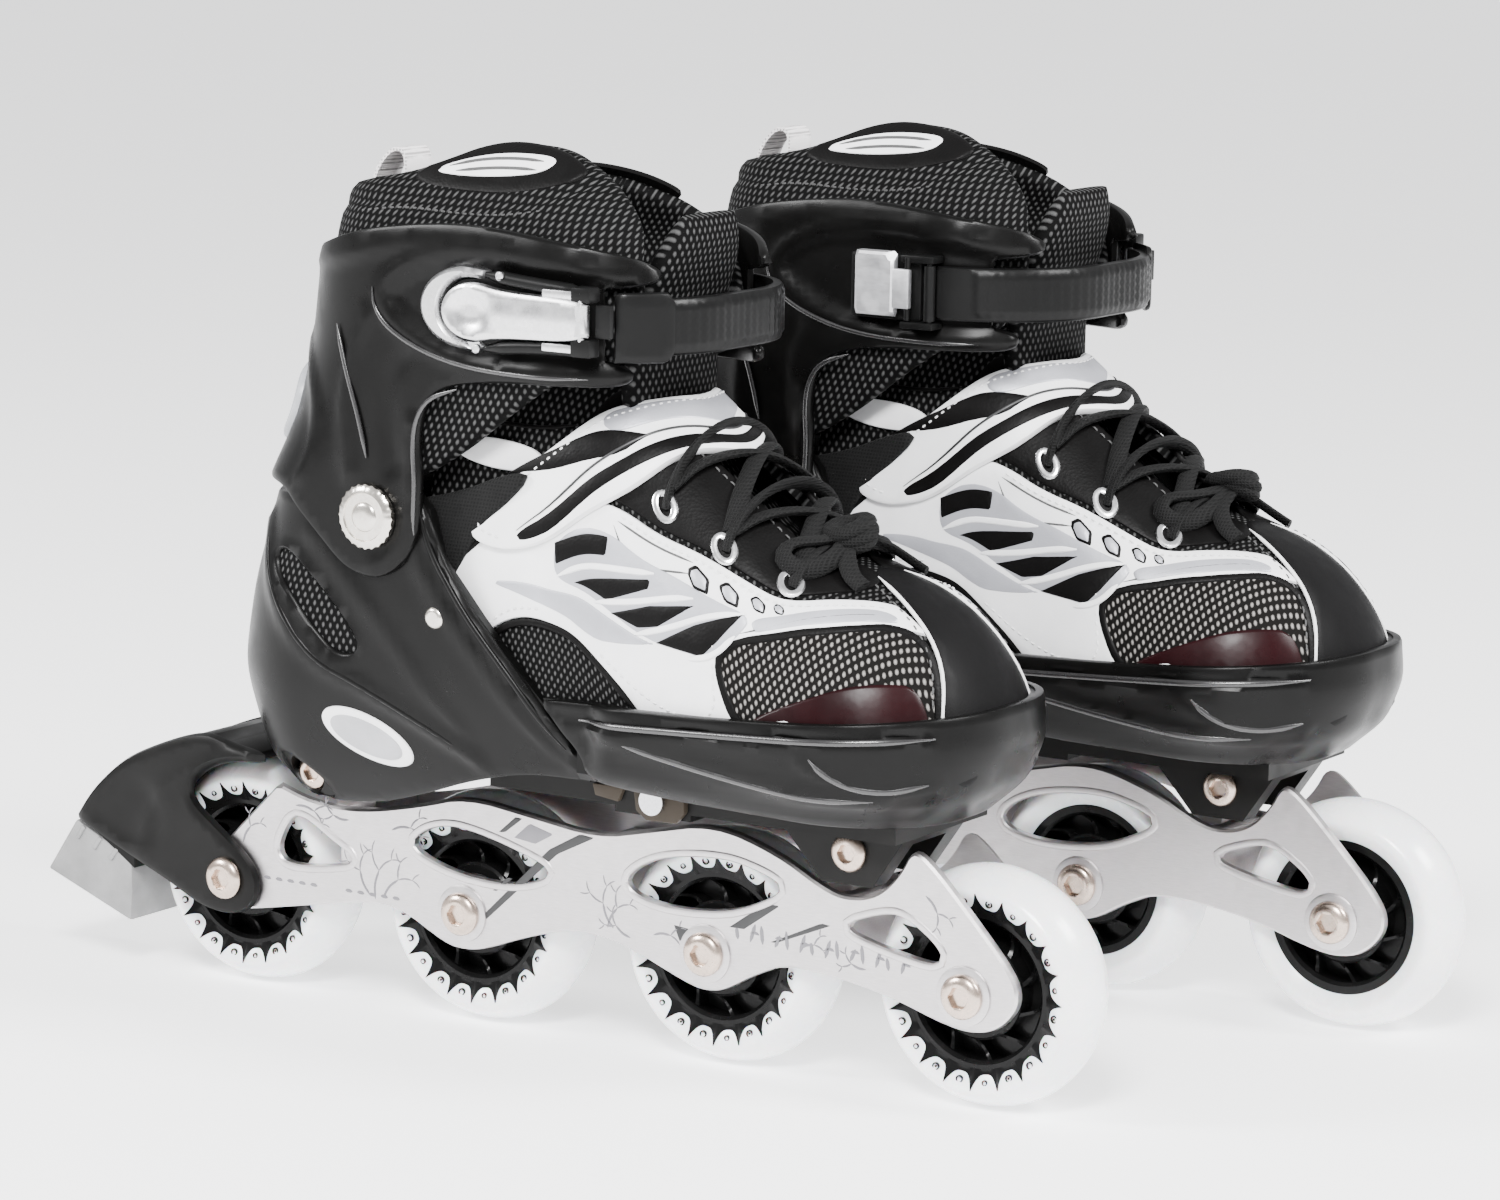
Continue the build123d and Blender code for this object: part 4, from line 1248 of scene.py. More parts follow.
def heel_shell(side):
    """The hard heel shell with its ridges, vents, oval badges and a rivet on each side."""
    surface = HEEL_SURFACE
    vent = on_ring(surface, HEEL_VENT)
    bolt = on_ring(surface, [HEEL_BOLT])[0]
    rim = resampled(rounded(vent, 2), 2.0)
    ridges = paired_beads(surface, (
        ([(91, 158), (95, 147), (105, 134), (117, 120), (129, 107), (139, 95)], 1.0, 1.8),
        ([(80, 166), (84, 152), (92, 139), (104, 124), (118, 109), (131, 96), (140, 90)], 0.8, 2.2),
        ([(28, 150), (30, 140), (36, 128), (48, 112), (66, 106), (84, 98), (104, 88)], 1.3, 3.0),
        ([(50, 150), (62, 138), (76, 124), (88, 110), (100, 98)], 0.7, 2.5),
        ([(94, 150), (101, 136), (112, 122), (124, 108), (136, 94)], -0.8, 1.4),
    ))
    ridges += [bead_relief(rim, 0.8, 1.6, True), bead_relief(rim * RING_FLIP, 0.8, 1.6, True)]
    holes = [vent, vent * RING_FLIP, circle(bolt, 6.6, 28), circle(bolt * RING_FLIP, 6.6, 28)]
    outline = ring_outline(surface, 78.0, HEEL_PROFILE, 158.4)
    panel("heel_shell_skin", side, "skate", outline, surface, "shell", "shell_plastic",
          thick=1.1, lift=0.15, sink=1.5, edge=1.1, step=2.6, relief=together(*ridges), holes=holes)
    creases("heel_shell_creases", side, "skate", surface, "shell", (
        ([(89, 161), (93, 148.5), (103, 134.5), (115, 120.5), (127, 107.5), (138, 95)], 1.9),
        ([(29, 150), (31, 140), (37, 128), (49, 112), (67, 106), (85, 98), (105, 88)], 2.0),
    ), 0.9, 0.6)
    for sign, label in HALVES:
        panel(f"heel_vent_{label}", side, "skate", inset_points(ordered(vent * [sign, 1]), -0.8), surface,
              "mesh", "liner_fabric", thick=0.3, lift=0.15, sink=0.5, edge=0.6, step=3.0)
        middle = on_ring(surface, [(65.8, 90)])[0] * [sign, 1]
        tilt = -12 * sign
        panel(f"heel_badge_rim_{label}", side, "skate", ellipse(middle, 14.6, 8.2, tilt), surface, "white",
              "bolt_metal", thick=1.0, lift=1.0, sink=1.2, edge=0.8, step=3.0, passes=0)
        panel(f"heel_badge_{label}", side, "skate", ellipse(middle, 11.6, 6.0, tilt), surface, "badge",
              "bolt_metal", thick=0.5, lift=1.9, sink=0.6, edge=0.8, step=3.0, passes=0)
        spot = on_ring(surface, [(94.5, 129)])
        centre = surface.points(spot[:, 0] * sign, spot[:, 1])[0]
        shape = Shape()
        bolt_head(shape, (centre[0], centre[2]), centre[1], 3.4, -sign, 2.4, False)
        shape_piece(f"shell_rivet_{label}", side, "skate", shape, "rivet", 35)


# --- toe shell ---
def toe_shell(side):
    """The hard toe shell with its ridges and creases; the creases are lighter, a painted highlight along
    them.
    """
    surface = TOE_SURFACE
    rim = on_ring(surface, [(256, 115.8), (231, 114), (196, 111.7), (160, 110.4), (133, 109.6)])
    tail = on_ring(surface, [(131, 108), (138, 101), (144, 96.5), (146, 88), (160, 86), (178, 84.6),
                             (215, 83.4), (241, 82.6)])
    outline = mirrored([(0.0, 116.2), *rim, *tail, (0.0, 82.4)], RING_FLIP)
    reliefs = paired_beads(surface, (
        ([(252, 111.6), (222, 109.6), (190, 107.4), (150, 105.8), (136, 106)], -0.9, 1.1),
        ([(252, 108.6), (222, 106.6), (190, 104.6), (150, 103)], 0.9, 1.6),
        ([(243, 92.5), (218, 93.5), (195, 97.5), (165, 101), (150, 103)], 0.9, 1.5),
        ([(253, 96), (241, 96), (230, 98.5), (222, 103)], 1.0, 1.4),
        ([(247, 88), (218, 88.6), (190, 91.5), (160, 95)], -0.7, 2.0),
    ))
    panel("toe_shell_skin", side, "toe", outline, surface, "shell", "shell_plastic",
          thick=1.1, lift=0.15, sink=1.5, edge=1.1, step=2.2, relief=together(*reliefs))
    # Creases in the lighter edge finish: a painted highlight along the raised folds.
    creases("toe_shell_creases", side, "toe", surface, "edge", (
        ([(254, 110.2), (232, 109.0), (200, 107.2), (165, 105.6), (146, 105)], 1.6),
        ([(240, 93), (222, 92.4), (198, 95.0), (175, 98.6), (160, 101.5)], 1.6),
        ([(252, 97.5), (244, 95.4), (235, 96.4), (228, 100.5), (225, 104)], 1.6),
    ), 1.0, 0.7)


# --- upper ---
def girths(xs, z):
    """Distances round the arch, at several x, down to one height."""
    return [float(VAMP.girth_at(x, z)) for x in xs]


def upper_outline():
    """The forefoot's whole outline: throat, ankle edge, lower edge and toe."""
    xs = [97, 120, 150, 180, 205, 225, 238, 247, 253, 257]
    low = list(zip(xs, girths(xs, 99)))
    back = [(97, VAMP.girth_at(97, 150)), (112, VAMP.girth_at(112, 163)), (130, VAMP.girth_at(130, 180)),
            (140, VAMP.girth_at(140, 190)), (145, 15), (146, 14)]
    lateral = [*back[::-1], *low]
    throat = [(150, 13.6), (175, 13), (198, 12.5), (207, 10), (210, 0)]
    return mirrored([*throat[::-1], *lateral, (261.5, 8), (262.5, 0)], ARCH_FLIP)


QUARTER = [
    (90, 77), (104, 68), (124, 62), (140, 52), (152, 46.5), (164, 44), (178, 39), (191, 36), (206, 32),
    (220, 23), (232, 15), (232, 15), (242, 15.5), (242, 15.5), (235, 24), (226, 31), (206, 42.3),
    (197, 50), (191, 60), (194, 67), (199, 72), (199, 76), (182, 88), (170, 95), (163, 93), (157, 92),
    (145, 91.5), (134, 90), (123, 90), (113, 93.5), (107, 99), (103, 105), (99, 104), (92, 90),
]
GREY_SWOOSH = [
    (107, 82), (122, 80.5), (133, 80.5), (148, 78), (163, 74), (170, 71), (170, 71), (158, 80), (146, 88),
    (134, 86), (122, 84.8),
]
GREY_FIELD = [
    (131, 65), (149, 55), (160, 54), (172, 50), (186, 47), (198, 42.5), (197, 48), (189, 62), (182, 65),
    (166, 72.5), (150, 75.5), (136, 77.8), (131, 75),
]
SLOTS = [
    [(131, 67), (149, 56.5), (149, 62), (132, 73)],
    [(139, 76), (152, 66), (165, 56.3), (165, 59), (151, 73)],
    [(153, 75), (166, 63), (181, 52.3), (170, 66), (163, 71.5)],
    [(170, 70.5), (182, 57), (196, 43.3), (190, 56), (186, 63)],
]
PENTAGONS = [((180, 45.5), 4.6), ((190, 42.3), 4.0), ((198.6, 38.6), 3.0), ((204.6, 35.8), 2.3)]
TOE_MESH = [
    (190.5, 62), (192, 56), (196.5, 50.5), (206, 42.8), (226, 31.5), (238, 19.5), (246, 19), (251, 26),
    (252, 36), (246, 46), (234, 56), (215, 66.5), (203, 71), (197, 70),
]
MAROON = [
    (203, 69.5), (207, 64.5), (216, 58), (228, 48.5), (239, 38), (246, 29.5), (251.5, 34), (250, 42),
    (246, 47), (234, 56.5), (216, 66.5),
]
EYESTAY = [
    (138, 20), (146, 13.8), (160, 13), (180, 12.6), (200, 12), (208, 8), (213, 3), (219, 3), (224, 9),
    (221, 18), (206, 30.5), (191, 34.5), (178, 37.5), (164, 42.5), (152, 45), (140, 50.5), (134, 50),
    (134, 34),
]
TOE_BAND = [
    (199, 47), (206, 41), (224, 30.5), (237, 20), (233, 18.5), (222, 26), (206, 36.6), (198, 43),
]
EYELETS = [(146, 40), (164, 36), (184, 33), (204, 27)]


def pentagon(centre, size):
    """A flattened pentagon with sharp corners."""
    turns = [0.5 + k * 1.2566 for k in range(5)]
    return stripe([(centre[0] + size * math.cos(t), centre[1] + 0.72 * size * math.sin(t)) for t in turns])


def overlay(name, side, outline, finish, lift, thick=0.9, edge=0.8):
    """A sewn layer of the forefoot, at a lift over the arch."""
    panel(name, side, "toe", outline, VAMP, finish, "upper_synthetic", lift=lift, thick=thick, edge=edge,
          step=3.4, sink=0.7)


def upper_side(side, sign, label):
    """The sewn overlays of one side of the forefoot."""
    def turned(points):
        return np.asarray(points, float) * np.array([1.0, sign])

    def layers(*rows):
        """Sewn layers from (name, outline, finish, lift, thickness and edge) rows."""
        for name, outline, finish, *sizes in rows:
            overlay(f"{name}_{label}", side, turned(outline), finish, *sizes)

    def sheets(name, finish, outlines, **sizes):
        """Small raised fields, joined as one piece, from (outline, lift) rows."""
        shape = Shape()
        for outline, lift in outlines:
            shape.add(*panel_mesh(turned(outline), VAMP, lift=lift, sink=0.5, **sizes))
        shape_piece(f"{name}_{label}", side, "toe", shape, finish)

    def beads(name, finish, rows):
        """Beads from (path, half width, half height, lift and whether it closes) rows."""
        shape = Shape()
        for path, *sizes in rows:
            cord_mesh(shape, turned(path), VAMP, *sizes)
        shape_piece(f"{name}_{label}", side, "toe", shape, finish)

    def seams(name, finish, rows):
        """Rows of stitches from (path, lift) rows."""
        shape = Shape()
        for path, lift in rows:
            stitches(shape, turned(path), VAMP, lift)
        shape_piece(f"{name}_{label}", side, "toe", shape, finish)

    layers(
        ("eyestay", EYESTAY, "black", 0.9, 0.8),
        ("quarter", QUARTER, "white", 1.1, 1.0),
        ("quarter_swoosh", GREY_SWOOSH, "grey", 2.0, 0.45, 0.6),
        ("quarter_field", GREY_FIELD, "grey", 2.0, 0.4, 0.6),
    )
    sheets("quarter_slots", "black", [(stripe(outline), 2.35) for outline in SLOTS], thick=0.35, edge=0.5,
           step=4.0)
    beads("quarter_ribs", "white", [(path, 0.95, 0.6, 2.4) for path in (
        [(133, 76), (150, 64.5), (166, 54)],
        [(147, 76.5), (160, 66.5), (172, 56.5), (180, 51)],
        [(162, 74), (174, 63.5), (186, 51.5), (196, 43.5)],
        [(182, 66.5), (190, 60), (195, 50.5)],
    )])
    for name, finish, scale, lift in (
        ("pentagon_rims", "black", 1.0, 2.0),
        ("pentagons", "grey", 0.72, 2.25),
    ):
        sheets(name, finish, [(pentagon(centre, size * scale), lift) for centre, size in PENTAGONS],
               thick=0.3, edge=0.3, step=3.0, passes=1)
    layers(("toe_mesh", TOE_MESH, "toe_mesh", 0.9, 0.7), ("toe_gloss", MAROON, "maroon", 1.55, 0.5))
    beads("black_piping", "black", [
        (TOE_MESH, 1.4, 0.9, 1.4, True),
        ([(108, 101), (114, 94.5), (124, 91.2), (135, 91), (146, 92.6), (158, 93.2), (166, 95)], 1.1, 0.8,
         1.5),
    ])
    beads("quarter_lines", "thread_dark", [(path, 0.35, 0.25, 2.05) for path in (
        [(151, 50.5), (164, 47.5), (177, 42.8)],
        [(150, 52.5), (157, 59), (166, 52.8), (177, 46)],
        [(196, 49), (206, 39.5), (221, 29.5), (234, 20)],
    )])
    layers(("toe_band", TOE_BAND, "grey", 1.9, 0.4, 0.6))
    beads("light_piping", "thread", [
        ([(203, 69.5), (212, 65.5), (217, 63)], 1.1, 0.5, 1.9),
        ([(221, 7), (228, 10.5), (236, 13.5), (244, 16), (249.5, 20), (252, 28), (253, 37)], 0.6, 0.55, 1.9),
    ])
    seams("quarter_stitches", "thread", [
        ([(94, 89), (101, 102), (108, 95.5), (116, 89), (128, 86.8)], 2.1),
        ([(150, 89), (166, 88), (180, 84), (193, 75), (190, 64), (188.5, 56)], 2.1),
        ([(152, 48.5), (164, 46), (178, 41), (191, 38), (206, 34), (221, 25.5), (231, 18.5)], 2.1),
    ])
    seams("eyestay_stitches", "thread_dark", [
        ([(150, 16.5), (165, 15.6), (185, 15.2), (200, 15), (210, 13)], 1.75),
        ([(223, 12), (231, 15.5), (240, 17.5), (247, 21.5), (250, 30)], 1.9),
    ])
    rings = Shape()
    for u, v in EYELETS:
        path = circle((u, v * sign), 3.2, 24)
        cord_mesh(rings, path, VAMP, 1.15, 0.9, 1.9, closed=True, step=0.9, passes=0)
    shape_piece(f"eyelets_{label}", side, "toe", rings, "eyelet")


def upper(side):
    """The soft forefoot with its toe cap, overlays and laces."""
    panel("upper_body", side, "toe", upper_outline(), VAMP, "side_mesh", "upper_synthetic",
          thick=1.0, lift=0.0, sink=2.6, edge=1.2, step=3.4, replaces=["toe_upper"])
    cap = [(217, 0), (219, 6.5), (227, 10), (235, 12.5), (243, 15), (249, 19), (252, 28), (253.5, 40),
           (257, 34), (260, 20), (262.5, 0)]
    overlay("toe_cap", side, mirrored(cap, ARCH_FLIP), "toecap", 1.0, 1.0, 1.0)
    for sign, label in HALVES:
        upper_side(side, sign, label)
    laces(side)


def lace_point(u, v, lift):
    """A place at a lift over the arch."""
    base = VAMP.points(np.array([u]), np.array([v]))
    probe_v = v if abs(v) > 1 else 10.0
    normal = normals(VAMP, np.array([u]), np.array([v]), hand_of(VAMP, u, probe_v))
    return base[0] + normal[0] * lift


def laces(side):
    """Black laces through the eyelets, tied in a tucked bow."""
    shape = Shape()
    for (u, v) in EYELETS[1:]:
        row = [lace_point(u, v * s, lift) for s, lift in
               ((1.0, 0.6), (0.86, 3.4), (0.5, 4.4), (0.0, 4.8), (-0.5, 4.4), (-0.86, 3.4), (-1.0, 0.6))]
        tube(shape, row, 3.0, 0.45)
    for (u1, v1), (u2, v2) in zip(EYELETS[1:], EYELETS[2:]):
        for s in (1, -1):
            cross = [lace_point(u1, v1 * s * 0.85, 2.4), lace_point(u1 + 4, v1 * s * 0.5, 4.0),
                     lace_point(0.5 * (u1 + u2), 0, 5.4), lace_point(u2 - 4, -v2 * s * 0.5, 4.4),
                     lace_point(u2, -v2 * s * 0.85, 2.6)]
            tube(shape, cross, 2.9, 0.45)
    knot = lace_point(207, 4, 8.0)
    for radius_x, radius_y, rise, tilt in ((6.5, 4.6, 1.0, 0.0), (5.0, 5.6, 2.2, 0.7),
                                           (6.0, 3.8, -0.5, -0.5)):
        loop = []
        for k in range(10):
            turn = 2 * math.pi * k / 10
            loop.append(knot + np.array([radius_x * math.cos(turn), radius_y * math.sin(turn),
                                         rise + 2.0 * math.sin(turn + tilt)]))
        tube(shape, loop, 3.0, 0.75, closed=True)
    for s in (1, -1):
        bow = [knot, lace_point(203, 12 * s, 6.5), lace_point(197, 19 * s, 4.6), lace_point(198, 24 * s, 3.4),
               lace_point(206, 23 * s, 3.4), lace_point(211, 13 * s, 5.5), knot]
        tube(shape, bow, 2.8, 0.5)
        end = [knot, lace_point(211, 10 * s, 6.0), lace_point(217, 16 * s, 3.8), lace_point(222, 17 * s, 3.0)]
        tube(shape, end, 2.7, 0.45)
    shape_piece("lace", side, "toe", shape, "lace", 60, ["laces"])


# --- instep strap ---
STRAP_UPPER_EDGE = [
    (101.5, 71), (104, 66.5), (122, 50), (138, 33), (148, 21), (154, 11), (156.5, 0),
]
STRAP_LOWER_EDGE = [
    (176, 0), (172, 10), (165, 22), (157, 39), (148, 52), (137, 65), (126, 74), (115, 77.5), (106, 76.5),
    (102, 74),
]


def chevron(upper_edge, lower_edge):
    """A band over the arch, from its outer half's upper and lower edges."""
    low = np.array(lower_edge, float)
    return np.vstack([over_the_arch(upper_edge), across(low)[::-1], low[1:]])


def strap_piece(name, side, outline, finish, lift, thick, replaces=(), edge=0.8, sink=0.6):
    """Part of the instep strap."""
    bend_strap(panel(name, side, None, outline, VAMP_STRAP, finish, "strap_synthetic", replaces=replaces,
                     lift=lift, thick=thick, edge=edge, step=3.2, sink=sink))


def bend_strap(piece):
    """A piece of the strap has its placement baked into its mesh."""
    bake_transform(piece)


def over_the_arch(half):
    """A path over the arch from its outer half, which ends on the crest."""
    half = np.asarray(half, float)
    return np.vstack([half, across(half)[::-1][1:]])


def instep_strap(side):
    """The strap over the instep with its black trim, printed line and stitches."""
    outline = chevron(STRAP_UPPER_EDGE, STRAP_LOWER_EDGE)
    strap_piece("instep_strap", side, outline, "white", 0.0, 1.6, ["velcro_strap"], 1.0, sink=1.0)
    for sign, label in HALVES:
        wedge = np.array(stripe([(113, 55.5), (128, 45.5), (141, 36), (155, 26)]) + [(147, 41), (129, 52)],
                         float)
        strap_piece(f"strap_wedge_{label}", side, wedge * [1, sign], "black", 1.45, 0.35, edge=0.5)
    stripe_edge = [(117, 73), (131, 63), (146, 44), (157, 26.5), (163, 17), (168, 8), (170, 0)]
    lower = [(173.2, 0), (170.5, 10), (164, 22), (151, 42), (134, 66.5), (122, 74)]
    strap_piece("strap_stripe", side, chevron(stripe_edge, lower), "black", 1.45, 0.35, edge=0.5)
    strap_piece("strap_crest", side, chevron([(139, 33.5), (149, 21.5), (155.5, 10.5), (158.5, 0)],
                                             [(166.5, 0), (162, 10), (154, 23), (145, 35)]),
                "grey", 1.45, 0.3, edge=0.6)
    line, sewn = Shape(), Shape()
    path = over_the_arch([(119, 71), (131, 60.5), (144, 43), (155, 25.5), (161.5, 15.5), (166.5, 7),
                          (168, 0)])
    cord_mesh(line, path, VAMP_STRAP, 0.4, 0.3, 1.75)
    bend_strap(shape_piece("strap_line", side, None, line, "print_black"))
    seam = over_the_arch([(113, 74), (106, 72.5), (104.5, 70), (107, 66.8), (124, 51.5), (140, 34.5),
                          (150, 22), (156, 11), (158.5, 0)])
    stitches(sewn, seam, VAMP_STRAP, 1.6)
    bend_strap(shape_piece("strap_stitches", side, None, sewn, "thread"))


# --- ankle panels ---
ANKLE = [
    (84, 34), (98, 22), (122, 17), (141, 15), (152, 17), (144, 33), (124, 56), (106, 74), (94, 82),
    (84, 80),
]
ANKLE_LEAF = [
    (89, 44.5), (93, 42.5), (100, 41), (112, 41.5), (122, 43.5), (126, 49), (116, 50), (106, 50),
    (95, 48),
]


def ankle(side):
    """The soft sides between heel and forefoot, on no body, with their placement baked into their meshes."""
    for sign, label in HALVES:
        turn = np.array([1.0, sign])
        mesh = panel(f"ankle_mesh_{label}", side, None, ANKLE * turn, VAMP, "mesh", "liner_fabric",
                     thick=0.9, lift=0.2, sink=1.2, edge=1.2, step=3.4)
        leaf = panel(f"ankle_leaf_{label}", side, None, ANKLE_LEAF * turn, VAMP, "white", "upper_synthetic",
                     thick=0.7, lift=2.1, sink=0.9, edge=0.7, step=3.0)
        lines = Shape()
        cord_mesh(lines, [(91, 81), (101, 74), (120, 55.5), (136, 38), (146, 24)] * turn, VAMP, 0.9, 0.7, 2.2)
        cord_mesh(lines, [(94, 40), (104, 36.5), (120, 37), (132, 33)] * turn, VAMP, 0.6, 0.5, 2.2)
        piping = shape_piece(f"ankle_piping_{label}", side, None, lines, "black")
        for piece in (mesh, leaf, piping):
            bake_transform(piece)


# --- cuff ---
CUFF_PROFILE = [
    (30, 163.5), (40, 162.5), (46, 157), (54, 149.5), (62, 142), (68, 139.5), (74, 138.5), (81, 141),
    (87, 147), (90.5, 155), (91, 168), (89.5, 180), (91, 189), (96, 195.5), (105, 198.3), (120, 199.7),
    (148, 199.9), (155, 200.5), (157, 203), (155.5, 206), (150, 207.6), (150, 207.6), (150, 228),
    (150, 228), (156, 228.3), (161, 229.5), (162, 233), (157, 236.5), (146, 239.5), (134, 241.5),
    (118, 243.4), (103, 244), (88, 243), (73, 241), (60, 238), (50, 235), (42, 233),
]
FORK = [
    (80, 219), (78.5, 222), (82, 227), (92, 231.5), (106, 233.6), (123, 233.2), (140, 231), (160, 228),
    (160, 208), (124, 205), (110, 206), (99, 208.5), (88, 213.5),
]


def cuff(side):
    """The hinged cuff: shell, forked strap recess, creases with a painted highlight, back insert and rivets.
    """
    surface = CUFF_SURFACE
    fork = on_ring(surface, FORK)
    reliefs = [step_relief(fork, -1.5, 1.6), step_relief(fork * RING_FLIP, -1.5, 1.6)]
    reliefs += paired_beads(surface, (
        ([(160, 230.5), (140, 234), (123, 236), (106, 236.5), (90, 234), (79, 228), (75, 221.5), (80, 215),
          (92, 208.5), (108, 203.5), (130, 202.5), (154, 203)], 1.1, 1.8),
        ([(72, 216), (66, 204), (63, 190), (64, 176), (66, 168)], 1.0, 2.2),
        ([(88, 186), (87.5, 170), (88, 158), (83, 146), (73, 142)], 0.9, 1.6),
        ([(40, 228), (60, 232), (85, 238), (110, 240), (140, 237)], 0.7, 2.2),
        ([(40, 205), (50, 190), (52, 176), (47, 166)], 0.9, 2.4),
        ([(84, 204), (80, 196), (79, 184), (81, 172)], -0.8, 2.4),
    ))
    panel("cuff_shell", side, "cuff", ring_outline(surface, 163.5, CUFF_PROFILE, 232.4), surface, "shell",
          "shell_plastic", thick=1.2, lift=-1.2, sink=1.9, edge=1.2, step=2.4, relief=together(*reliefs),
          under=True, replaces=["cuff"])
    # Creases in the lighter edge finish: a painted highlight along the raised folds.
    creases("cuff_creases", side, "cuff", surface, "edge", (
        ([(74, 224), (74.5, 218), (80, 212), (92, 206.5), (108, 203), (128, 202.2), (146, 202.4)], 0.6),
        ([(60, 212), (63, 203), (67, 192), (70, 182), (72, 174)], 0.6),
        ([(89.2, 153), (89.6, 166), (88.2, 179), (89.4, 187), (94, 193.4), (104, 196.6)], 0.6),
    ), 0.8, 0.6)
    insert = [(0, 171), (20, 171.5), (31, 175), (36, 184), (31, 194), (18, 198), (0, 198.6)]
    panel("cuff_back_insert", side, "cuff", mirrored(insert, RING_FLIP), surface, "silver", "buckle_metal",
          thick=1.6, lift=0.4, sink=1.4, edge=1.4, step=3.0)
    pivot_rivets(side)


PIVOT = (72.8, 157.0)       # x and z of the axis that the cuff tilts on


def pivot_rivets(side):
    """The two knurled rivets that the cuff tilts on."""
    count = 72
    rows = ((9.4, 0.0, 0.0), (9.5, 0.5, 0.25), (9.4, 1.6, 0.25), (8.6, 2.4, 0.1), (7.2, 2.7, 0.0),
            (6.9, 2.2, 0.0), (4.4, 2.2, 0.0), (4.1, 2.6, 0.0), (3.2, 3.0, 0.0), (1.4, 3.1, 0.0))
    for sign, label in FACES:
        face = sign * 46.9
        rings = []
        for radius, rise, knurl in rows:
            turn = turns_of(count)
            r = radius + knurl * np.cos(24 * turn)
            rings.append(np.column_stack([PIVOT[0] + r * np.cos(turn), np.full(count, face + sign * rise),
                                          PIVOT[1] + r * np.sin(turn)]))
        rivet = Shape().rings(rings)
        rivet.rod(4.0, sign * 40.0, face, (PIVOT[0], 0, PIVOT[1]))
        shape_piece(f"pivot_rivet_{label}", side, "skate", rivet, "rivet", 35,
                    ["cuff_rivets"] if label == "outer" else [])


# --- collar and tongue ---
COLLAR_LOWER = [(40, 165), (60, 164), (78, 165), (96, 174), (116, 189), (132, 200), (146, 203)]
COLLAR_TALL = COLLAR_LOWER + [
    (154, 210), (157, 225), (156, 239), (152.5, 248), (145.5, 256), (136, 262.4), (125, 266.6), (112, 268),
    (99, 266.8), (86, 262), (75, 258), (62, 255.5), (50, 252.5),
]
COLLAR_SUNK = COLLAR_LOWER + [
    (152, 210), (152, 224), (146, 235), (137, 243), (126, 249.5), (113, 254), (100, 256), (86, 256),
    (75, 255.4),
    (62, 254), (50, 251.5),
]


COLLAR_DROP = 9.5       # how much lower the half at +Y sits


def collar(side):
    """The padded collar. Both collars have sagged the same way, so the half at +Y sits lower."""
    surface = COLLAR_SURFACE
    lean = 1 if side == "right" else -1
    tall, sunk = on_ring(surface, COLLAR_TALL) * [lean, 1], on_ring(surface, COLLAR_SUNK) * [-lean, 1]
    outline = np.vstack([[[0.0, 165.0]], tall, [[0.0, 250.5]], sunk[::-1]])
    seam = on_ring(surface, [(44, 244), (60, 247), (78, 249.5), (96, 248.5), (116, 249), (132, 254),
                             (141, 259)])
    relief = together(bead_relief(seam, -1.0, 1.5), bead_relief(seam * [-1, 1], -1.0, 1.5))
    pad = panel("collar_pad", side, "cuff", outline, surface, "mesh", "liner_fabric", 50, ["collar"],
                thick=2.6, lift=-3.6, sink=3.6, edge=3.4, step=3.0, crown=0.9, crown_width=12, relief=relief,
                under=True)
    for sign, label in HALVES:
        collar_marks(side, sign, label, 0 if sign == lean else COLLAR_DROP)
    pull_loop(side)


def collar_marks(side, sign, label, drop):
    """The black patch, the white mark with its lines and the stitches on one half of the collar."""
    surface = COLLAR_SURFACE

    def placed(points, lowered=drop):
        return on_ring(surface, points) * [sign, 1] - [0, lowered]

    patch = placed([(78, 253.5), (94, 252), (112, 252), (127, 255), (136, 258.5), (129, 263), (119, 265.6),
                    (107, 266.6), (96, 264.8), (86, 260.4), (77, 257)])
    panel(f"collar_patch_{label}", side, "cuff", patch, surface, "black", "liner_fabric",
          thick=0.8, lift=-0.6, sink=1.2, edge=1.0, step=3.0)
    mark = placed([(82, 256.6), (90, 260), (103, 262.8), (119, 263), (124, 261.4), (120, 258), (108, 256.4),
                   (94, 255.8)])
    panel(f"collar_mark_{label}", side, "cuff", mark, surface, "white", "liner_fabric",
          thick=0.4, lift=0.1, sink=0.8, edge=0.5, step=3.0)
    lines, sewn = Shape(), Shape()
    for path in ([(88, 258.2), (98, 260.6), (110, 261.4), (119, 261)],
                 [(91, 257), (102, 258.4), (112, 258.8), (118, 258.6)]):
        cord_mesh(lines, placed(path), surface, 0.6, 0.3, 0.5)
    shape_piece(f"collar_mark_lines_{label}", side, "cuff", lines, "thread_dark")
    seam = placed([(62, 244.6), (78, 247), (96, 246), (112, 246.2), (126, 248.6)], drop / 2)
    stitches(sewn, seam, surface, -0.4)
    shape_piece(f"collar_stitches_{label}", side, "cuff", sewn, "thread_dark")


def pull_loop(side):
    """The tape loop that stands at the back of the collar."""
    rings = []
    for turn in np.linspace(-0.15, math.pi + 0.15, 22):
        x = 49.5 - 5.5 * math.cos(turn) + 3.5 * math.sin(turn)
        z = 249 + 11.0 * math.sin(turn) ** 0.9 if math.sin(turn) > 0 else 249 - 3
        out = np.array([-math.cos(turn), 0.0, 0.35 * math.sin(turn)])
        out /= np.linalg.norm(out)
        middle = np.array([x, 0.0, z])
        rings.append([middle + out * a + np.array([0, b, 0]) for a, b in
                      ((0.55, -6.2), (0.8, 0), (0.55, 6.2), (-0.55, 6.2), (-0.8, 0), (-0.55, -6.2))])
    shape_piece("pull_loop", side, "cuff", Shape().rings(rings), "loop", 60)


TONGUE_LINE = [
    (204, 135, 3.0), (192, 142, 3.6), (176, 153.5, 4.2), (160, 167, 4.6), (149.5, 180, 4.8),
    (145.5, 194, 4.8), (147, 210, 5.0), (151, 226, 5.2), (155, 236, 5.0), (157.5, 243.5, 3.6),
    (158.5, 247, 1.6),
]


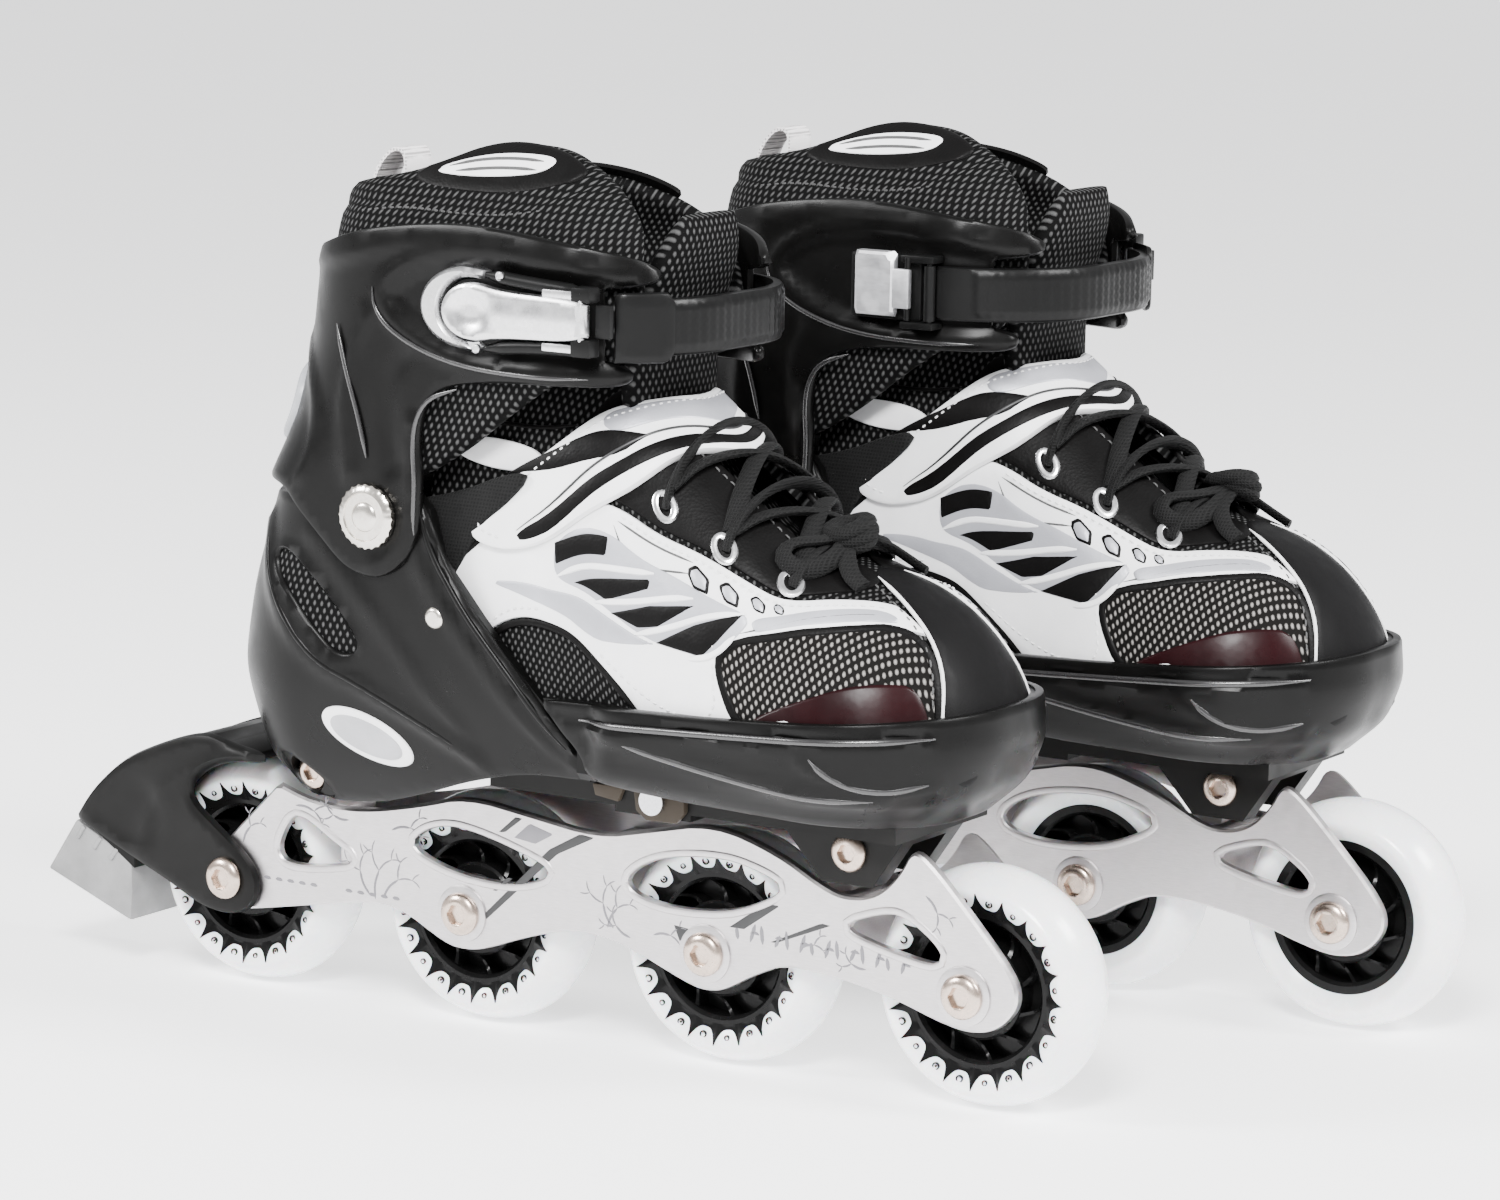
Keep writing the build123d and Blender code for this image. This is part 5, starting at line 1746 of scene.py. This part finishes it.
def tongue(side):
    """The padded tongue, quilted across, along its line in the middle plane."""
    line = resampled(rounded(TONGUE_LINE, 2, False), 3.0, False)
    run = np.gradient(line[:, :2], axis=0)
    run /= np.linalg.norm(run, axis=1, keepdims=True)
    rings = []
    for i, (x, z, thick) in enumerate(line):
        out = np.array([-run[i, 1], 0, run[i, 0]]) * -1
        share = i / (len(line) - 1)
        half = 20.5 + 3.0 * math.sin(math.pi * min(share * 1.15, 1.0)) - 7.0 * max(share - 0.9, 0) / 0.1
        quilt = 0.25 * math.cos(2 * math.pi * i / 5)
        ring = []
        for turn in turns_of(36):
            c, s = math.cos(turn), math.sin(turn)
            y = half * math.copysign(abs(c) ** 0.7, c)
            t = (thick + quilt) * math.copysign(abs(s) ** 0.75, s)
            ring.append(np.array([x, y, z]) + out * t)
        rings.append(ring)
    shape = Shape().rings(rings)
    uv = np.array(shape.verts)[:, [1, 2]]
    pad = new_piece("tongue_pad", side, "skate", np.array(shape.verts), shape.faces, "mesh",
                    uv, 60, ["tongue"])


def lining(side):
    """What shows inside the boot: the rear lining, the forefoot's backing and the insole."""
    profile = [(30, 89), (60, 88), (96, 88), (97.5, 148), (124, 172), (116, 173), (95, 164), (60, 158),
               (40, 158)]
    pad = panel("boot_lining", side, "skate", ring_outline(BOOT_SURFACE, 89.0, profile, 158.0), BOOT_SURFACE,
                "fleece", "liner_fabric", 50, ["boot_rear"], thick=1.2, lift=-2.6, sink=2.6, edge=2.0,
                step=4.5, under=True)
    backing = [(97, 26), (120, 25), (150, 25), (196, 23), (212, 36), (214, 74), (196, 88), (150, 94),
               (98, 100)]
    for sign, label in HALVES:
        panel(f"forefoot_lining_{label}", side, "toe", backing * np.array([1.0, sign]), VAMP, "fleece",
              "liner_fabric", 50, thick=0.8, lift=-4.4, sink=0.5, edge=1.0, step=6.0)
    sole = [(24, 0), (27, 12), (38, 20), (60, 24), (110, 26), (160, 34), (205, 37), (232, 31), (246, 18),
            (250, 0)]
    foot = panel("insole", side, "skate", mirrored(sole, ARCH_FLIP), PlanSurface(90.0), "insole",
                 "liner_fabric", 50, thick=3.0, sink=0.5, edge=3.0, step=6.0)


# --- buckle, straps ---
LEVER_PIN = (149, -50.5, 0)     # the pins stand upright: x, y and a base height of 0
LADDER_PIN = (133.5, 50, 0)
ADJUSTER_PIN = (126.5, 51.2, 0)


def lever(side):
    """The chrome lever with a dished thumb end."""
    outline = [(101, 219.8), (103, 225), (108, 228), (114, 228.4), (122, 226.6), (146, 226), (151, 225),
               (151, 225), (151.5, 215.4), (151.5, 215.4), (145, 213.6), (122, 213), (114, 211.6),
               (108, 212), (103, 215)]
    surface = FlatSurface(-50.6)
    dish = ellipse((111.5, 220), 7.6, 6.2)
    crease = [(122, 219.8), (136, 219.8), (147, 219.8)]
    relief = together(step_relief(dish, -1.3, 3.0), bead_relief(crease, 0.5, 3.0))
    shape = Shape().add(*panel_mesh(outline, surface, thick=1.8, sink=0.7, edge=1.2, step=1.6, relief=relief))
    shape.rod(2.3, 215.6, 224.4, LEVER_PIN, axis="z", count=20)
    shape_piece("lever_plate", side, "buckle_lever", shape, "chrome", 35, ["buckle_lever"])


def buckle(side):
    """The buckle's fixed parts: ring, base, two rails and the hooks that the lever turns in."""
    turns = np.radians(np.linspace(62, 298, 22))
    outer = [(108 + 16.2 * math.cos(t), 220.5 + 12.2 * math.sin(t)) for t in turns]
    inner = [(110 + 10.6 * math.cos(t), 220.2 + 8.9 * math.sin(t)) for t in turns[::-1]]
    panel("buckle_ring", side, "cuff", outer + inner, FlatSurface(-46.2), "chrome", "buckle_metal",
          thick=3.6, sink=0.8, edge=1.6, step=2.0, passes=1)
    base = [(98, 220), (103, 228.5), (116, 230.6), (141, 229), (147, 227.5), (147, 211), (141, 210),
            (114, 209.6), (103, 212)]
    panel("buckle_plate", side, "cuff", base, FlatSurface(-45.2), "strap", "strap_plastic",
          thick=3.0, sink=0.6, edge=0.8, step=4.0, replaces=["buckle_base"])
    rails = Shape()
    for z, tilt in ((229.0, -1.4), (211.0, 0.6)):
        flare = 1.6 if z > 220 else -1.6
        path = [(115, -48.6, z + flare), (128, -48.6, z), (150, -48.6, z + tilt)]
        tube(rails, path, 1.9, 1.1, taper=True)
    for low, high in ((209.6, 214.8), (225.0, 229.4)):
        rails.add(*bevelled_box((145.8, -51.6, low), (152.4, -46.0, high), 0.8))
    shape_piece("buckle_rails", side, "cuff", rails, "strap")
    hooks = Shape()
    for low, high in ((225.6, 228.2), (210.6, 213.0)):
        hooks.add(*bevelled_box((136, -51.4, low), (147.5, -49.4, high), 0.6))
    hooks.rod(1.1, 211, 228.4, LEVER_PIN, axis="z", count=16)
    for x, z in ((121, 230.6), (113, 209.4)):
        bolt_head(hooks, (x, z), -49.6, 1.3, -1, 0.9, False)
    shape_piece("buckle_hooks", side, "cuff", hooks, "chrome")


def ladder(side):
    """The toothed strap round the front, from the inner side's hinge to the buckle."""
    surface = STRAP_SURFACE
    outer_end = float(surface.u_at(154.0, 218.0))
    inner_end = float(surface.u_at(134.5, 218.0))
    outline = [(outer_end, 209.4), (outer_end, 209.4), (outer_end, 225.6), (outer_end, 225.6), (0, 225.6),
               (-inner_end, 225.6), (-inner_end, 225.6), (-inner_end, 209.4), (-inner_end, 209.4), (0, 209.4)]
    teeth_start, teeth_end = 32.0, -(inner_end - 12)

    def teeth(u, v):
        toothed = (u < teeth_start) & (u > teeth_end) & (np.abs(v - 217.5) < 6.8)
        return np.where(toothed, 0.75 * np.abs(np.sin(math.pi * u / 3.4)) ** 0.7, 0.0)

    shape = Shape().add(*panel_mesh(outline, surface, thick=1.3, sink=1.5, edge=0.7, step=0.85 * 1.7,
                                    relief=teeth, passes=1))
    shape.rod(1.8, 209.2, 225.8, LADDER_PIN, axis="z", count=18)
    shape.add(*bevelled_box((152.6, -49.0, 215.2), (157.5, -46.8, 224.6), 0.4))
    shape_piece("ladder_band", side, "ladder_strap", shape, "strap", 35, ["ladder_strap"])
    head = [(outer_end + 0.6, 207.6), (outer_end + 0.6, 227.4), (outer_end - 14, 227.6),
            (outer_end - 16.5, 225),
            (outer_end - 16.5, 210), (outer_end - 14, 207.4)]
    panel("ladder_head", side, "ladder_strap", stripe(head), surface, "strap", "strap_plastic",
          thick=1.2, lift=1.3, sink=0.6, edge=1.2, step=3.0, passes=2)


def adjuster(side):
    """The inner side's housing and its chrome lift tab."""
    shape = Shape()
    shape.add(*bevelled_box((105, 44.8, 208.5), (130, 48.9, 228.5), 1.2))
    for low, high in ((206.4, 208.6), (226.4, 228.8)):
        shape.add(*bevelled_box((124, 44.8, low), (135.4, 51.6, high), 0.7))
    shape.rod(0.95, 207, 228.5, LADDER_PIN, axis="z", count=14)
    shape.rod(0.95, 209, 228, ADJUSTER_PIN, axis="z", count=14)
    shape_piece("adjuster_housing", side, "cuff", shape, "strap")
    outline = stripe([(108.4, 209.8), (108.4, 229.6), (122.6, 229.6), (122.6, 209.8)])
    dish = step_relief([(111, 212.5), (111, 227), (120, 227), (120, 212.5)], -0.4, 1.0)
    tab = Shape().add(*panel_mesh(outline, FlatSurface(50.8), thick=2.1, sink=0.3, edge=1.2, step=2.2,
                                  relief=dish))
    tab.add(*bevelled_box((121.5, 50.4, 212.5), (127.6, 52.6, 224.5), 0.6))
    shape_piece("adjuster_tab", side, "strap_adjuster", tab, "tab", 35, ["strap_adjuster"])


# --- brake ---
ARM_OUTLINE = [
    (14, 75), (-1, 77.2), (-7, 79.2), (-16, 77.5), (-28, 73), (-39, 68), (-47, 62), (-54, 55), (-60, 46),
    (-60, 46), (-37, 36), (-22, 30), (-11, 24.5), (0, 22.8), (9, 26), (12, 33), (9, 41), (-2, 49),
    (-13, 56.5), (-14.5, 61), (-11, 66), (0, 71.2), (14, 71.6),
]


def brake(side):
    """The heel brake: two cheeks, the web over the wheel and the rubber block."""
    for sign, label in FACES:
        hollow = [(-58, 47), (-48, 58), (-38, 64), (-28, 62), (-22, 52), (-24, 42), (-36, 37.5)]
        well = [(-33, 40), (-30, 52), (-21, 62), (-9, 69), (4, 73)]
        panel(f"brake_cheek_{label}", side, "skate", ARM_OUTLINE, FlatSurface(sign * 18.3), "brake",
              "sole_plastic", thick=2.6, sink=0.3, edge=2.2, step=2.6,
              relief=together(step_relief(hollow, -0.7, 4.0), bead_relief(well, 0.7, 2.2)),
              replaces=["brake_arm"] if sign < 0 else [])
    arc = [(37.4 * math.cos(t), 35 + 37.4 * math.sin(t)) for t in np.radians(np.linspace(98, 184, 9))]
    web = [(10, 74.6), (-1, 76.6), (-7, 78.4), (-16, 76.8), (-28, 72.3), (-39, 67.2), (-47, 61.2),
           (-54, 54.2), (-59, 46.4)] + arc[::-1] + [(10, 72)]
    shape = Shape().add(*bevelled_prism(web, -18.6, 18.6, 0.3, 1))
    shape_piece("brake_web", side, "skate", shape, "brake")
    pad = Shape().add(*bevelled_prism([(-60.6, 45.2), (-72, 28), (-39, 15.5), (-38.4, 25), (-38.6, 35.4)],
                                      -18.4, 18.4, 1.0))
    for k in range(3):
        pad.add(*bevelled_prism([(-58 + 6.5 * k, 43.6 - 2.8 * k), (-60.5 + 6.5 * k, 39.5 - 2.6 * k),
                                 (-59.2 + 6.5 * k, 38.9 - 2.6 * k), (-56.6 + 6.5 * k, 43.0 - 2.8 * k)],
                                 -18.9, 18.9, 0.25, 1))
    shape_piece("brake_block", side, "skate", pad, "rubber", 35, ["brake_pad"])


def size_lock(side):
    """The moulded guide of the size slide, beside its push button."""
    shape = Shape()
    shape.add(*bevelled_prism([(139, 83), (140, 79.5), (148, 78.5), (150, 83)], -27.6, -25.4, 0.5))
    shape.add(*bevelled_prism([(153.5, 83.4), (154.5, 77), (158, 74.4), (168, 74.6), (171, 78),
                               (171, 83.4)], -28.2, -25.4, 0.6))
    shape_piece("size_lock", side, "skate", shape, "lock")


for side in SIDES:
    heel_shell(side)
    toe_shell(side)
    upper(side)
    instep_strap(side)
    ankle(side)
    cuff(side)
    collar(side)
    tongue(side)
    lining(side)
    lever(side)
    buckle(side)
    ladder(side)
    adjuster(side)
    size_lock(side)
brake("right")


# --- the CAD pieces that stay ---
KEPT = {
    "bearings": "steel", "base_plate": "sole", "size_button": "steel", "heel_shell": "shell",
    "toe_shell": "shell", "toe_upper": "black", "boot_rear": "fleece", "tongue": "fleece", "laces": "lace",
    "velcro_strap": "white", "cuff": "shell", "cuff_rivets": "rivet", "collar": "mesh",
    "buckle_base": "shell", "buckle_lever": "chrome", "ladder_strap": "strap", "strap_adjuster": "chrome",
    "brake_arm": "brake", "brake_pad": "rubber", "brake_screw": "bolt",
}


def finish_cad_nodes():
    """Gives the CAD nodes that still show their finishes."""
    for name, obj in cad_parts.items():
        piece = name.split("_", 1)[1]
        if piece in KEPT and not obj.hide_render:
            obj.data.materials.clear()
            obj.data.materials.append(FINISH[KEPT[piece]])


finish_cad_nodes()
